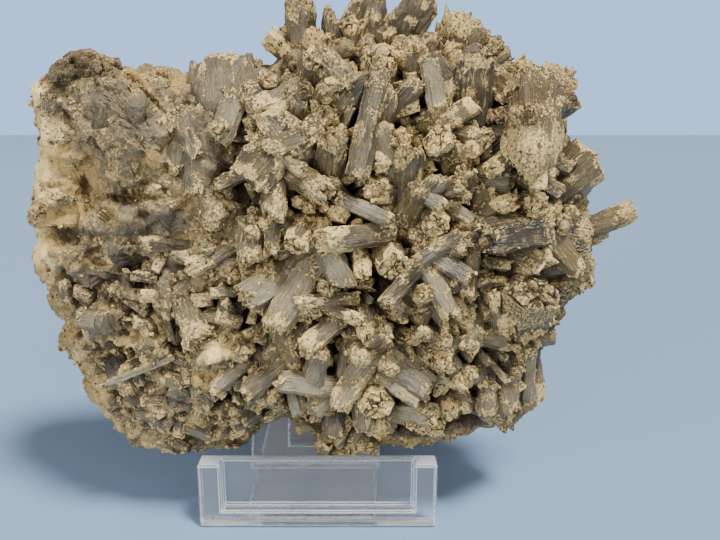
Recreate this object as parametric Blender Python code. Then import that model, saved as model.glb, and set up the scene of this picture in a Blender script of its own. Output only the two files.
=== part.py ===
"""An aragonite specimen on a clear acrylic display stand.

Metres, +Z up. The specimen's face looks along -Y, and its width runs along X. The origin
lies on the table, under the middle of the stand's footprint. Rows of shape values are in
millimetres and degrees and are turned to metres as the meshes are made.

The specimen is one grown mass: a corroded, granular matrix on its left, and a crowd of
six-sided crystals on the rest, joined into one solid. The stand is three clear pieces: a
front bar with two posts and a thin wall between them, a tongue lying on the table behind
it, and a forked upright that leans back and carries the specimen.
"""

import math

import bpy
import numpy as np
from mathutils import Matrix, Vector

MM = 0.001
SEED = 4

# Stand
GAP = 0.3
FRONT_WIDE = 45.0
FRONT_TALL = 13.0
FRONT_THICK = 4.3
FRONT_FACE_Y = -25.0
POST_WIDE = 4.3
WALL_THICK = 1.7
BAR_TALL = 3.4
TONGUE_WIDE = 25.0
TONGUE_THICK = 3.0
TONGUE_REAR_Y = 25.0
TONGUE_SHIFT = -1.2
FORK_WIDE = 27.0
FORK_SLOT = 10.5
FORK_THICK = 3.0
FORK_TOP = 58.0
FORK_SLOT_FLOOR = 8.0
FORK_FOOT_Y = -8.6
FORK_LEAN = 18.0
FORK_SHIFT = -1.4
FORK_CORNER = 2.0
EDGE_BEVEL = 0.35
CUT_BEYOND = 2.0
FORK_CUT_THICK = 30.0

# Specimen: middle plane, depths and the point its front draws in towards
MIDDLE_Y = -12.0
FRONT_DEPTH = 13.5
BACK_DEPTH = 17.5
BACK_FOOT_SHARE = 0.34
BACK_FOOT_Z = 10.0
BACK_FOOT_RISE = 48.0
CENTRE = (0.0, 48.0)
RIM_START = 0.19
DRAW_IN_POINT = (8.0, 86.8)
DRAW_IN_LENGTH = 147.6
GRID_CENTRE = (-20.0, 48.0)
RINGS = 10
BLUNTNESS = 0.5
INNER_REACH = 0.985

# How far the crowd's crystals are sunk into the face, beyond what their rows say
SUNK = 1.6

# The matrix's rim in the middle plane, x and z, clockwise from the left shoulder
RIM = (
    (-51.3, 77.8), (-51.0, 81.0), (-48.0, 83.8), (-46.0, 85.3), (-43.5, 87.5), (-41.0, 87.3),
    (-39.2, 86.1), (-35.3, 86.0), (-34.0, 83.8), (-30.2, 84.2), (-27.3, 84.8), (-24.5, 84.0),
    (-20.0, 83.5), (-15.0, 82.5), (-11.0, 83.0), (-7.0, 85.5), (-2.0, 88.0), (3.0, 89.0),
    (8.0, 90.0), (13.0, 91.0), (18.0, 91.0), (23.0, 90.0), (28.0, 88.0), (32.0, 85.5),
    (36.0, 83.0), (40.0, 82.0), (43.5, 81.5), (45.0, 79.0), (45.0, 76.0), (46.0, 72.5),
    (48.5, 68.5), (50.0, 64.5), (50.5, 60.0), (51.5, 56.0), (52.2, 52.0), (52.0, 48.0),
    (50.0, 44.5), (48.2, 41.0), (47.4, 36.5), (44.6, 33.0), (43.3, 29.0), (43.6, 24.0),
    (43.0, 19.5), (41.0, 16.5), (37.0, 15.0), (32.0, 14.5), (28.0, 13.0), (24.0, 11.5),
    (18.0, 11.0), (12.0, 10.5), (7.0, 10.0), (2.0, 10.5), (-3.0, 14.0), (-7.5, 17.0),
    (-12.0, 14.5), (-16.0, 10.5), (-21.0, 10.2), (-26.0, 9.5), (-30.0, 8.4), (-34.0, 9.8),
    (-38.6, 10.9), (-39.4, 13.4), (-42.5, 17.0), (-45.4, 20.6), (-46.8, 25.0), (-47.8, 28.6),
    (-49.8, 31.0), (-50.0, 34.4), (-48.9, 37.2), (-51.3, 39.9), (-52.4, 43.2), (-53.6, 46.4),
    (-54.4, 49.6), (-53.0, 53.4), (-54.3, 57.4), (-52.4, 61.4), (-52.6, 65.6), (-50.6, 68.6),
    (-50.4, 73.0),
)

# Swellings and hollows of the matrix's face: x, z, half-width, half-height, height
FACE_FORMS = (
    (-43.0, 83.5, 4.5, 3.5, 4.0), (-46.0, 74.5, 3.2, 4.6, 2.0), (-50.0, 66.5, 2.4, 2.0, 2.0),
    (-47.6, 62.0, 2.6, 1.9, 3.4), (-43.0, 63.5, 2.2, 4.2, -3.5), (-52.0, 58.0, 2.2, 2.2, 2.2),
    (-37.0, 79.5, 3.0, 4.0, 1.8), (-36.0, 71.5, 5.0, 5.0, 2.6), (-29.0, 80.5, 4.0, 2.6, 1.8),
    (-29.5, 70.0, 5.0, 4.0, 2.8), (-22.0, 72.5, 4.0, 4.0, 3.4), (-24.5, 64.5, 4.0, 2.4, 2.4),
    (-37.0, 65.5, 5.0, 1.8, 2.4), (-35.5, 61.4, 5.0, 0.9, -2.6), (-38.0, 56.8, 6.0, 2.0, 2.8),
    (-47.0, 53.6, 4.2, 1.2, -2.4), (-48.0, 49.5, 4.0, 2.8, 2.8), (-44.0, 45.0, 5.0, 2.6, 3.2),
    (-36.0, 51.6, 4.0, 1.4, 2.6), (-35.0, 48.6, 4.0, 0.9, -4.5), (-36.5, 46.8, 3.2, 0.9, 2.4),
    (-33.5, 45.3, 2.0, 0.8, -4.5), (-31.0, 43.0, 3.0, 1.6, 2.2), (-43.0, 36.6, 5.0, 2.6, 4.6),
    (-38.8, 34.7, 1.5, 1.0, -5.0), (-47.6, 35.4, 1.0, 1.3, -4.0), (-38.0, 31.6, 2.6, 1.5, 2.6),
    (-44.5, 31.0, 4.0, 1.2, 2.4), (-33.6, 33.0, 2.4, 1.6, 2.4), (-29.0, 35.0, 1.2, 1.4, -4.5),
    (-40.0, 25.6, 3.4, 1.3, 3.6), (-35.0, 27.6, 3.2, 1.3, 3.4), (-30.5, 30.0, 3.2, 1.4, 3.0),
    (-36.0, 23.0, 4.6, 1.2, -3.6), (-42.0, 20.6, 3.0, 2.0, 1.8), (-38.0, 17.6, 3.0, 1.4, 1.8),
    (-30.0, 23.6, 2.0, 1.6, 2.6), (-22.5, 29.0, 4.0, 1.8, 3.0), (-15.4, 30.6, 2.6, 1.6, 4.0),
    (-24.0, 24.0, 3.0, 1.8, 2.0), (-18.5, 21.3, 2.2, 1.1, -5.0), (-21.5, 16.6, 2.6, 2.2, 2.6),
    (-27.5, 19.0, 1.8, 1.4, -3.0), (-29.0, 13.2, 3.4, 1.8, 2.2), (-35.0, 13.6, 3.0, 1.4, 2.0),
    (-25.0, 50.2, 4.2, 1.4, 3.2), (-20.8, 52.8, 3.0, 1.8, 3.4), (-19.5, 57.4, 2.2, 2.2, 3.2),
    (-12.4, 54.8, 3.2, 2.2, 4.0), (-14.6, 59.6, 3.2, 1.8, 3.0), (-20.5, 41.8, 5.0, 1.3, -7.0),
    (-12.4, 35.2, 2.2, 2.0, -8.0), (-14.0, 65.2, 3.2, 2.6, -9.0), (-2.8, 59.6, 2.6, 3.0, -9.0),
    (-5.2, 55.4, 2.2, 1.4, -7.0), (-1.5, 68.0, 1.4, 1.6, -6.0), (-4.5, 37.4, 1.6, 1.3, -6.0),
    (-5.8, 28.8, 2.6, 1.2, -6.0), (13.2, 17.0, 4.6, 3.4, -7.0), (-11.0, 81.2, 2.2, 0.9, -5.0),
    (2.6, 83.0, 2.8, 0.9, -6.0), (12.7, 80.4, 1.2, 1.0, -5.0), (18.0, 76.2, 2.2, 2.0, -6.5),
    (22.6, 66.8, 1.1, 1.3, -5.0), (28.4, 72.3, 1.3, 1.0, -5.0), (37.4, 64.0, 2.6, 1.9, -8.0),
    (29.8, 60.8, 3.2, 1.6, -8.0), (29.0, 57.4, 1.7, 1.9, -7.0), (31.6, 44.0, 1.6, 3.2, -8.0),
    (33.0, 33.6, 1.9, 3.6, -8.0), (22.8, 36.2, 2.4, 1.4, -6.0), (30.0, 18.6, 1.4, 2.6, -5.0),
)

# Crystals set by hand. A row: x and z of the end face's centre, how far it stands in front
# of the matrix's face, the way it points in the X-Z plane (0 to the right, 90 up), how much
# it turns to the front, and its width, thickness and length
TOP_CRYSTALS = (
    (-18.0, 86.8, 3, 92, 8, 9.2, 5.6, 17), (-22.0, 85.2, 1, 99, 5, 4.0, 3.6, 12),
    (-11.7, 86.2, 2, 96, 10, 4.4, 4.0, 10), (-8.3, 82.8, 5, 10, 45, 3.6, 3.2, 8),
    (-8.7, 90.5, 2, 140, 15, 4.2, 3.6, 12), (-5.4, 92.4, 0, 112, 5, 3.2, 3.0, 10),
    (-2.5, 96.9, 2, 92, 8, 5.2, 4.6, 15), 
    (2.6, 94.8, -1, 82, 0, 2.4, 2.2, 10), (3.7, 93.2, 2, 84, 8, 3.2, 3.0, 9),
    (8.2, 95.6, 1, 62, 8, 3.4, 3.0, 11), (10.6, 97.8, 2, 88, 6, 4.2, 3.6, 13),
    (14.0, 94.2, 2, 104, 6, 3.6, 3.2, 10), (19.6, 97.2, 2, 58, 8, 6.2, 5.0, 14),
    (26.0, 94.2, 2, 87, 5, 6.0, 5.0, 12), (21.2, 90.0, 5, 60, 20, 4.6, 4.0, 11),
    (33.2, 88.7, 2, 8, 12, 3.8, 3.4, 13), (34.7, 87.4, 1, 32, 10, 3.0, 3.0, 8),
    (28.4, 86.6, 6, 88, 14, 7.8, 6.5, 14),
    (43.6, 85.0, 1, 66, 8, 6.2, 5.4, 12), (46.8, 81.2, 1, -8, 0, 3.2, 2.8, 8),
    (36.5, 79.5, 6, -40, 50, 5.2, 4.8, 9), (0.2, 86.8, 6, 80, 30, 6.2, 5.0, 10),
    (11.5, 86.6, 6, 80, 35, 5.8, 5.0, 9),
)
UPPER_CRYSTALS = (
    (6.9, 81.7, 6, -42, 25, 3.2, 3.0, 9), (2.6, 81.3, 5, 60, 50, 4.2, 3.8, 7),
    (8.4, 84.2, 6, 66, 20, 3.4, 3.0, 11), (10.5, 82.5, 6, 84, 30, 2.8, 2.6, 8),
    (7.2, 64.8, 6, -103, 12, 4.2, 3.6, 18), (2.2, 66.0, 5, -92, 20, 4.2, 3.8, 13),
    (-2.4, 72.2, 5, 200, 60, 4.6, 4.2, 8), (-5.2, 69.0, 5, 190, 55, 5.2, 4.2, 8),
    (-6.6, 72.0, 4, -52, 25, 5.0, 4.4, 11), (-3.4, 79.6, 4, 72, 25, 4.6, 4.2, 10),
    (17.0, 62.6, 6, -88, 12, 5.4, 4.6, 15), (22.2, 72.2, 6, 120, 62, 5.6, 5.0, 10),
    (13.0, 73.0, 5, 100, 60, 4.2, 3.8, 8), (10.8, 67.0, 5, 215, 45, 4.0, 3.4, 8),
    (18.6, 82.4, 6, 50, 25, 4.0, 3.4, 10), (22.4, 76.6, 6, -80, 20, 3.6, 3.0, 9),
    (28.0, 69.8, 5, -150, 50, 3.4, 3.0, 7),
)
RIGHT_CRYSTALS = (
    (40.0, 69.4, 8, -98, 46, 10.2, 8.8, 13), (40.7, 63.9, 7, -92, 20, 3.6, 3.2, 9),
    (51.4, 69.2, 5, 48, 8, 8.6, 7.0, 18), (59.5, 58.9, 2, 24, 4, 4.2, 3.6, 13),
    (31.2, 53.4, 7, 182, 35, 7.2, 6.6, 14), (50.8, 52.2, 3, 2, 10, 5.6, 5.0, 15),
    (51.6, 43.2, 1, -68, 8, 4.4, 4.0, 11), 
    (40.6, 43.4, 6, -35, 66, 11.6, 10.4, 14), (48.2, 35.4, 2, 20, 12, 6.2, 5.4, 16),
    (33.2, 17.0, 5, -91, 12, 4.0, 3.6, 12), (37.6, 17.2, 5, -88, 12, 5.2, 4.4, 13),
    (42.8, 20.6, 2, -80, 10, 4.8, 4.2, 10), (37.3, 13.6, 1, -86, 6, 3.4, 3.0, 8),
    (31.8, 66.6, 6, 190, 50, 3.8, 3.4, 8), (27.0, 66.6, 5, 120, 45, 3.2, 2.8, 7),
    (36.7, 60.4, 6, 30, 40, 3.4, 3.0, 8), (28.2, 63.6, 5, 12, 25, 3.4, 2.8, 9),
    (44.5, 57.5, 5, 12, 40, 4.4, 3.8, 8),
)
MIDDLE_CRYSTALS = (
    (2.8, 61.6, 6, -25, 28, 5.2, 4.6, 14), (-2.0, 65.6, 6, -32, 20, 2.4, 2.0, 7),
    (-8.0, 57.0, 5, -86, 22, 4.6, 4.0, 11), (-4.5, 51.9, 7, 238, 58, 4.8, 4.4, 12),
    (0.3, 52.6, 7, 184, 20, 5.0, 4.4, 13), (-8.8, 50.0, 5, -90, 20, 3.0, 2.6, 8),
    (5.2, 44.0, 6, -62, 20, 5.2, 4.4, 11), (8.5, 45.6, 6, -80, 45, 3.6, 3.2, 8),
    (14.2, 47.8, 6, -60, 68, 6.2, 5.8, 9), (-8.6, 35.6, 6, 236, 20, 6.2, 5.2, 16),
    (-14.4, 41.2, 6, 204, 38, 5.6, 4.8, 11), (-4.5, 40.6, 6, 180, 16, 3.0, 2.6, 11),
    (1.8, 44.8, 6, 95, 45, 4.2, 3.8, 8), (22.5, 55.6, 6, -60, 68, 5.0, 4.6, 9),
    (24.0, 59.3, 6, -28, 20, 2.8, 2.4, 8), (19.4, 64.0, 6, 76, 30, 4.2, 3.6, 9),
    (10.6, 63.0, 5, 150, 55, 5.4, 4.8, 8), 
    (14.0, 56.6, 6, -22, 15, 3.0, 2.6, 10), (29.2, 45.4, 7, -30, 18, 3.2, 2.8, 11),
    (28.6, 51.2, 6, -12, 15, 3.2, 2.8, 10), (25.7, 38.0, 8, -63, 22, 3.6, 3.0, 12),
    (28.6, 41.6, 6, -100, 18, 3.2, 2.8, 9), (27.2, 42.6, 5, -58, 15, 3.2, 2.6, 9),
    (12.8, 40.4, 7, 226, 18, 3.2, 2.8, 11), 
    (20.6, 43.0, 7, 90, 60, 4.2, 3.6, 8), (27.2, 38.4, 6, -80, 55, 3.0, 2.8, 7),
    (33.8, 42.8, 5, 100, 20, 2.4, 2.2, 9), (18.6, 48.6, 7, 210, 15, 2.8, 2.4, 9),
)
LOWER_CRYSTALS = (
    (3.2, 18.6, 8, 234, 22, 4.8, 4.0, 14), (-1.8, 17.6, 7, 228, 20, 4.0, 3.4, 10),
    (-8.4, 24.9, 7, 160, 24, 4.8, 4.2, 12), (-15.3, 21.0, 6, 218, 18, 4.2, 3.6, 11),
    (-4.9, 13.9, 5, 188, 12, 2.2, 2.0, 9), 
    (3.2, 11.4, 5, -88, 12, 5.0, 4.4, 10), (0.3, 31.2, 6, 76, 18, 4.4, 3.6, 10),
    (-3.5, 30.8, 7, 214, 24, 4.2, 3.6, 9), (9.0, 36.8, 6, -16, 20, 2.6, 2.2, 9),
    (11.6, 19.0, 7, -30, 74, 7.0, 6.4, 12), (22.6, 17.4, 6, 10, 30, 5.2, 4.6, 9),
    (17.8, 15.3, 6, 200, 60, 3.8, 3.6, 8), (20.4, 13.5, 6, 250, 50, 3.6, 3.2, 8),
    (23.4, 13.3, 6, -60, 55, 3.8, 3.4, 8), (22.4, 22.6, 6, -28, 20, 5.6, 4.6, 12),
    (19.8, 19.7, 7, -28, 18, 2.8, 2.4, 9), (29.6, 22.8, 5, -40, 40, 3.8, 3.2, 8),
    (10.2, 33.2, 6, -70, 50, 4.4, 4.0, 8), (7.6, 9.2, 5, -84, 14, 6.4, 5.0, 9),
)
LEFT_CRYSTALS = (
    (-23.6, 33.2, 5, -62, 22, 7.6, 5.2, 15), (-12.8, 48.4, 4, -90, 18, 5.2, 4.2, 8),
    (-25.6, 47.0, 4, 205, 20, 4.2, 3.2, 10), (-16.2, 12.0, 3, -92, 8, 4.4, 4.0, 8),
)

# Crusts, knobs and lumps: x, z, how far the centre stands in front of the face, radius
LUMPS = (
    (-43.2, 84.0, -1, 4.2), (-47.6, 61.9, 0, 3.0), (-45.4, 36.8, 1, 3.2), (-41.0, 36.4, 1, 3.4),
    (-52.0, 58.2, -1, 2.8), (-20.8, 52.6, 2, 2.8), (-19.4, 57.2, 2, 2.6), (-12.6, 54.6, 3, 3.0),
    (-9.6, 56.4, 3, 2.2), (-15.2, 30.8, 2, 2.8), (-17.6, 74.0, 3, 2.6), (-13.0, 72.6, 3, 2.6),
    (-9.4, 20.6, 4, 2.6), (0.6, 10.4, 4, 2.4), (4.2, 9.0, 5, 2.4),
    (10.2, 10.0, 5, 2.4), (6.0, 92.0, 2, 2.2), (11.6, 87.0, 6, 3.2), (-0.4, 85.6, 6, 3.2),
    (2.8, 81.6, 5, 2.4), (12.6, 34.6, 5, 2.4), (20.4, 34.2, 5, 2.6), (24.8, 33.0, 5, 2.4),
    (29.4, 32.2, 4, 2.6), (24.4, 27.6, 4, 3.4), (29.8, 25.8, 3, 2.8), (51.2, 48.4, 0, 2.8),
    (40.6, 59.2, 4, 2.8), (46.4, 56.2, 3, 2.6), (38.4, 80.4, 3, 2.8), (-23.0, 15.4, 2, 2.8),
    (14.4, 26.6, 4, 2.6), (8.2, 29.6, 5, 3.4), 
)

# A crystal wider than this has a chamfered end
CHAMFERED_FROM = 5.5
CHAMFER = 0.4

# Smaller crystals that fill the crowd: how many, and the least and greatest width and length
FACE_FILL = {"count": 6, "wide": (2.4, 4.0), "long": (7.0, 11.0), "tilt": 35.0}
BACK_FILL = {"count": 14, "wide": (3.0, 6.0), "long": (9.0, 14.0), "tilt": 40.0}
BACK_LUMPS = 16


def clear_scene():
    """Removes every object that the file starts with."""
    for old in list(bpy.data.objects):
        bpy.data.objects.remove(old, do_unlink=True)


def material(name, colour, roughness, transmission=0.0, ior=1.5):
    """A Principled material with one colour."""
    made = bpy.data.materials.new(name)
    made.use_nodes = True
    shader = made.node_tree.nodes["Principled BSDF"]
    shader.inputs["Base Color"].default_value = (*colour, 1.0)
    shader.inputs["Roughness"].default_value = roughness
    shader.inputs["Metallic"].default_value = 0.0
    shader.inputs["Transmission Weight"].default_value = transmission
    shader.inputs["IOR"].default_value = ior
    return made


def mesh_object(name, points, faces, finish=None):
    """A mesh object from points in millimetres."""
    mesh = bpy.data.meshes.new(name)
    mesh.from_pydata([tuple(MM * value for value in point) for point in points], [], faces)
    mesh.update()
    made = bpy.data.objects.new(name, mesh)
    bpy.context.scene.collection.objects.link(made)
    if finish:
        mesh.materials.append(finish)
    return made


def block(name, low, high, finish=None):
    """A box between two corners in millimetres."""
    corners = [(x, y, z) for x in (low[0], high[0]) for y in (low[1], high[1]) for z in (low[2], high[2])]
    faces = [(0, 1, 3, 2), (4, 6, 7, 5), (0, 4, 5, 1), (2, 3, 7, 6), (0, 2, 6, 4), (1, 5, 7, 3)]
    return mesh_object(name, corners, faces, finish)


def as_helper(made):
    """Keeps a cutter or a guide out of the model."""
    made.hide_render = True
    made.display_type = "WIRE"
    return made


def bevel(made, width):
    """Softens the edges of a piece."""
    softened = made.modifiers.new("edges", "BEVEL")
    softened.width = width * MM
    softened.segments = 1
    softened.limit_method = "ANGLE"
    softened.angle_limit = math.radians(30)


def boolean(made, other, operation, solver="EXACT"):
    """Joins or cuts with another object, or with a collection of them."""
    step = made.modifiers.new(operation.lower(), "BOOLEAN")
    step.operation = operation
    step.solver = solver
    if isinstance(other, bpy.types.Collection):
        step.operand_type = "COLLECTION"
        step.collection = other
    else:
        step.object = other
    return step


# Stand


def stand_front(finish):
    """The front bar: two posts and, between them, a thin wall over a low bar."""
    half = FRONT_WIDE / 2
    rear = FRONT_FACE_Y + FRONT_THICK
    bar = block("stand_front", (-half, FRONT_FACE_Y, 0), (half, rear, FRONT_TALL), finish)
    inner = half - POST_WIDE
    recess_low = (-inner, FRONT_FACE_Y - CUT_BEYOND, BAR_TALL)
    recess_high = (inner, rear - WALL_THICK, FRONT_TALL + CUT_BEYOND)
    recess = as_helper(block("cut_recess", recess_low, recess_high))
    boolean(bar, recess, "DIFFERENCE")
    bevel(bar, EDGE_BEVEL)
    return bar


def stand_base(finish):
    """The tongue that lies on the table behind the front bar."""
    half = TONGUE_WIDE / 2
    front = FRONT_FACE_Y + FRONT_THICK + GAP
    low = (TONGUE_SHIFT - half, front, 0)
    high = (TONGUE_SHIFT + half, TONGUE_REAR_Y, TONGUE_THICK)
    tongue = block("stand_base", low, high, finish)
    bevel(tongue, EDGE_BEVEL)
    return tongue


def fork_front(z):
    """How far back the fork's front face lies at a height."""
    return FORK_FOOT_Y + (z - TONGUE_THICK) * math.tan(math.radians(FORK_LEAN))


def fork_points(outline, nearer, thick):
    """The points of an outline in X and Z, carried back along the fork's lean."""
    front = [(x, fork_front(z) - nearer, z) for x, z in outline]
    back = [(x, y + thick, z) for x, y, z in front]
    return front + back


def prism_faces(count):
    """The faces of an outline carried from a front ring to a back ring of as many points."""
    sides = [(i, (i + 1) % count, (i + 1) % count + count, i + count) for i in range(count)]
    front = tuple(reversed(range(count)))
    back = tuple(range(count, 2 * count))
    return sides + [front, back]


def stand_back(finish):
    """The forked upright: two prongs over a low foot, leaning back."""
    half = FORK_WIDE / 2
    slot = FORK_SLOT / 2
    foot = TONGUE_THICK + GAP
    right = [(half, foot), (half, FORK_TOP - FORK_CORNER), (half - FORK_CORNER, FORK_TOP)]
    right += [(slot + FORK_CORNER, FORK_TOP), (slot, FORK_TOP - FORK_CORNER), (slot, FORK_SLOT_FLOOR)]
    left = [(-x, z) for x, z in reversed(right)]
    outline = [(x + FORK_SHIFT, z) for x, z in right + left]
    thick = FORK_THICK / math.cos(math.radians(FORK_LEAN))
    fork = mesh_object("stand_back", fork_points(outline, 0, thick), prism_faces(len(outline)), finish)
    bevel(fork, EDGE_BEVEL)
    return fork


# Specimen


def rim_radius(angle):
    """The rim's distance from the centre at an angle, straight between the rim's points."""
    rim = np.array(RIM) - CENTRE
    angles = np.arctan2(rim[:, 1], rim[:, 0])
    order = np.argsort(angles)
    return np.interp(angle, angles[order], np.hypot(rim[order, 0], rim[order, 1]), period=2 * math.pi)


def reach(x, z):
    """How far out a point is: 0 at the centre and 1 on the rim."""
    dx = np.asarray(x) - CENTRE[0]
    dz = np.asarray(z) - CENTRE[1]
    return np.hypot(dx, dz) / rim_radius(np.arctan2(dz, dx))


def dome(share):
    """A flat-topped dome with a steep side: 1 at the centre and 0 at the rim."""
    return np.clip(1 - np.clip(share, 0, 1) ** 4, 0, 1) ** BLUNTNESS


def face_y(x, z):
    """The matrix's face without its swellings and hollows."""
    return MIDDLE_Y - FRONT_DEPTH * dome(reach(x, z))


def face_forms(x, z):
    """The sum of the face's swellings and hollows, each a smooth bell."""
    total = np.zeros(np.shape(x))
    for cx, cz, half_wide, half_high, height in FACE_FORMS:
        total = total + height * np.exp(-(((x - cx) / half_wide) ** 2) - ((z - cz) / half_high) ** 2)
    return total


def ripple(x, z, seed):
    """A rough surface: a few crossing waves of different lengths."""
    random = np.random.default_rng(seed)
    total = np.zeros(np.shape(x))
    for length, height in ((17.0, 0.9), (11.0, 0.7), (8.0, 0.4)):
        for _ in range(3):
            way = random.uniform(0, math.pi)
            phase = random.uniform(0, 2 * math.pi)
            along = x * math.cos(way) + z * math.sin(way)
            total = total + height * np.sin(2 * math.pi * along / length + phase)
    return total


def back_depth(z):
    """The back's depth: less near the foot, where the mass stays in front of the fork."""
    return BACK_DEPTH * np.clip(BACK_FOOT_SHARE + (z - BACK_FOOT_Z) / BACK_FOOT_RISE, BACK_FOOT_SHARE, 1.0)


def draw_in(x, y, z):
    """Narrows what lies in front of the middle plane towards one point."""
    share = 1 + np.minimum(y - MIDDLE_Y, 0) / DRAW_IN_LENGTH
    return (
        DRAW_IN_POINT[0] + (x - DRAW_IN_POINT[0]) * share,
        y,
        DRAW_IN_POINT[1] + (z - DRAW_IN_POINT[1]) * share,
    )


def rim_point(share):
    """A point of the rim, by its share of the way round."""
    rim = np.array(RIM + RIM[:1])
    along = np.concatenate([[0], np.cumsum(np.hypot(*np.diff(rim, axis=0).T))])
    place = np.mod(share, 1) * along[-1]
    return np.interp(place, along, rim[:, 0]), np.interp(place, along, rim[:, 1])


def disc_grid():
    """The x and z of a square grid drawn out to the rim: each square ring becomes a ring of the disc."""
    across, up = np.meshgrid(np.arange(-RINGS, RINGS + 1), np.arange(-RINGS, RINGS + 1), indexing="ij")
    ring = np.maximum(np.maximum(abs(across), abs(up)), 1)
    on_top = abs(up) >= abs(across)
    on_level = np.where(up > 0, across, 4 * ring - across)
    on_side = np.where(across > 0, 2 * ring - up, 6 * ring + up)
    step = np.where(on_top, on_level, on_side)
    rim_x, rim_z = rim_point(step / (8 * ring) + RIM_START)
    share = np.sin(np.maximum(abs(across), abs(up)) / RINGS * math.pi / 2)
    x = GRID_CENTRE[0] + (rim_x - GRID_CENTRE[0]) * share
    z = GRID_CENTRE[1] + (rim_z - GRID_CENTRE[1]) * share
    return x, z


def cell_triangles(number, i, j, rising):
    """The two triangles of a grid cell, split along its rising or its falling diagonal."""
    low, right = int(number[i, j]), int(number[i + 1, j])
    high, left = int(number[i + 1, j + 1]), int(number[i, j + 1])
    if rising:
        return [(low, right, high), (low, high, left)]
    return [(low, right, left), (right, high, left)]


def matrix_mass():
    """The matrix: a face and a back, each a square grid drawn out to the rim that they share."""
    x, z = disc_grid()
    side = 2 * RINGS + 1
    inside = np.zeros((side, side), bool)
    inside[1:-1, 1:-1] = True
    # Only the rim itself comes down to the middle plane, so that the mass is thick up to its edge
    share = np.where(inside, np.minimum(reach(x, z), INNER_REACH), 1.0)
    fade = 1 - share ** 8
    face = MIDDLE_Y - FRONT_DEPTH * dome(share) - (face_forms(x, z) + ripple(x, z, SEED)) * fade
    back = MIDDLE_Y + back_depth(z) * dome(share) + ripple(x, z, SEED + 1) * fade
    front = np.stack(draw_in(x, face, z), axis=-1).reshape(-1, 3)
    rear = np.stack((x, back, z), axis=-1).reshape(-1, 3)
    number = np.arange(side * side).reshape(side, side)
    rear_number = number.copy()
    rear_number[inside] = side * side + np.arange(inside.sum())
    points = np.concatenate([front, rear[inside.ravel()]])
    faces = []
    for i in range(side - 1):
        for j in range(side - 1):
            # The diagonal runs outwards, so that no triangle has all its corners on the rim
            outwards = (i < RINGS) == (j < RINGS)
            faces += cell_triangles(number, i, j, outwards)
            faces += [tuple(reversed(face)) for face in cell_triangles(rear_number, i, j, outwards)]
    return mesh_object("aragonite_cluster", points.tolist(), faces)


def direction(turn, rise):
    """The unit vector that a crystal points along."""
    turn, rise = math.radians(turn), math.radians(rise)
    return Vector((math.cos(rise) * math.cos(turn), -math.sin(rise), math.cos(rise) * math.sin(turn)))


def crystal(name, end, way, wide, flat, long, random):
    """A six-sided crystal with uneven corners, a chamfered end and a root that is a little slimmer."""
    side = way.cross(Vector((0, 1, 0)))
    side = side.normalized() if side.length > 0.2 else Vector((1, 0, 0))
    up = way.cross(side).normalized()
    roll = random.uniform(-12, 12)
    frame = Matrix.Rotation(math.radians(roll), 3, way)
    side, up = frame @ side, frame @ up
    angles = np.radians(np.arange(6) * 60.0 + random.uniform(-8, 8, 6))
    corner = 0.5 / math.cos(math.radians(30))
    radii = random.uniform(0.95, 1.06, 6) * corner
    rings = [(long, 0.88), (0.0, 1.0)]
    if wide > CHAMFERED_FROM:
        rings = [(long, 0.88), (CHAMFER, 1.0), (0.0, 0.88)]
    points = []
    for back, size in rings:
        for angle, radius in zip(angles, radii):
            across = side * (math.cos(angle) * radius * size * wide)
            over = up * (math.sin(angle) * radius * size * flat)
            points.append(tuple(end - way * back + across + over))
    last = 6 * len(rings) - 6
    faces = [tuple(reversed(range(6))), tuple(range(last, last + 6))]
    for ring in range(0, last, 6):
        for i in range(6):
            j = (i + 1) % 6
            faces.append((ring + i, ring + j, ring + 6 + j, ring + 6 + i))
    return mesh_object(name, points, faces)


def facing_out(made):
    """Turns a closed piece's faces outwards."""
    mesh = made.data
    mesh.calc_loop_triangles()
    points = np.array([v.co for v in mesh.vertices])
    triangles = np.array([t.vertices for t in mesh.loop_triangles])
    if np.linalg.det(points[triangles] - points.mean(axis=0)).sum() < 0:
        mesh.flip_normals()
    return made


def set_crystal(name, row, random):
    """A crystal from a row of the tables."""
    x, z, out, turn, rise, wide, flat, long = row
    y = float(face_y(x, z)) - out + SUNK
    share = 1 + min(y - MIDDLE_Y, 0) / DRAW_IN_LENGTH
    end = Vector(float(value) for value in draw_in(x, y, z))
    return crystal(name, end, direction(turn, rise), wide * share, flat * share, long, random)


def lump(name, centre, radius, random):
    """A rough knob: an uneven ball of twenty faces."""
    bpy.ops.mesh.primitive_ico_sphere_add(subdivisions=1, radius=1.1)
    made = bpy.context.object
    made.name = name
    stretch = random.uniform(0.8, 1.15, 3)
    for vertex in made.data.vertices:
        rough = random.uniform(0.86, 1.12)
        spread = [vertex.co[i] * stretch[i] * rough * radius for i in range(3)]
        vertex.co = (Vector(spread) + centre) * MM
    return made


def face_fill(random):
    """Rows for the smaller crystals of the face, each leaning away from the mass's centre."""
    rows = []
    while len(rows) < FACE_FILL["count"]:
        angle = random.uniform(-math.pi, math.pi)
        share = math.sqrt(random.uniform(0.02, 0.94))
        radius = share * float(rim_radius(angle))
        x = CENTRE[0] + radius * math.cos(angle)
        z = CENTRE[1] + radius * math.sin(angle)
        outwards = math.degrees(angle) + random.uniform(-FACE_FILL["tilt"], FACE_FILL["tilt"])
        rise = 78 - 66 * share + random.uniform(-14, 14)
        wide = random.uniform(*FACE_FILL["wide"])
        flat = wide * random.uniform(0.75, 0.95)
        long = random.uniform(*FACE_FILL["long"])
        out = random.uniform(2.0, 4.0)
        if x > -12:
            rows.append((x, z, out, outwards, rise, wide, flat, long))
    return rows


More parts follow.
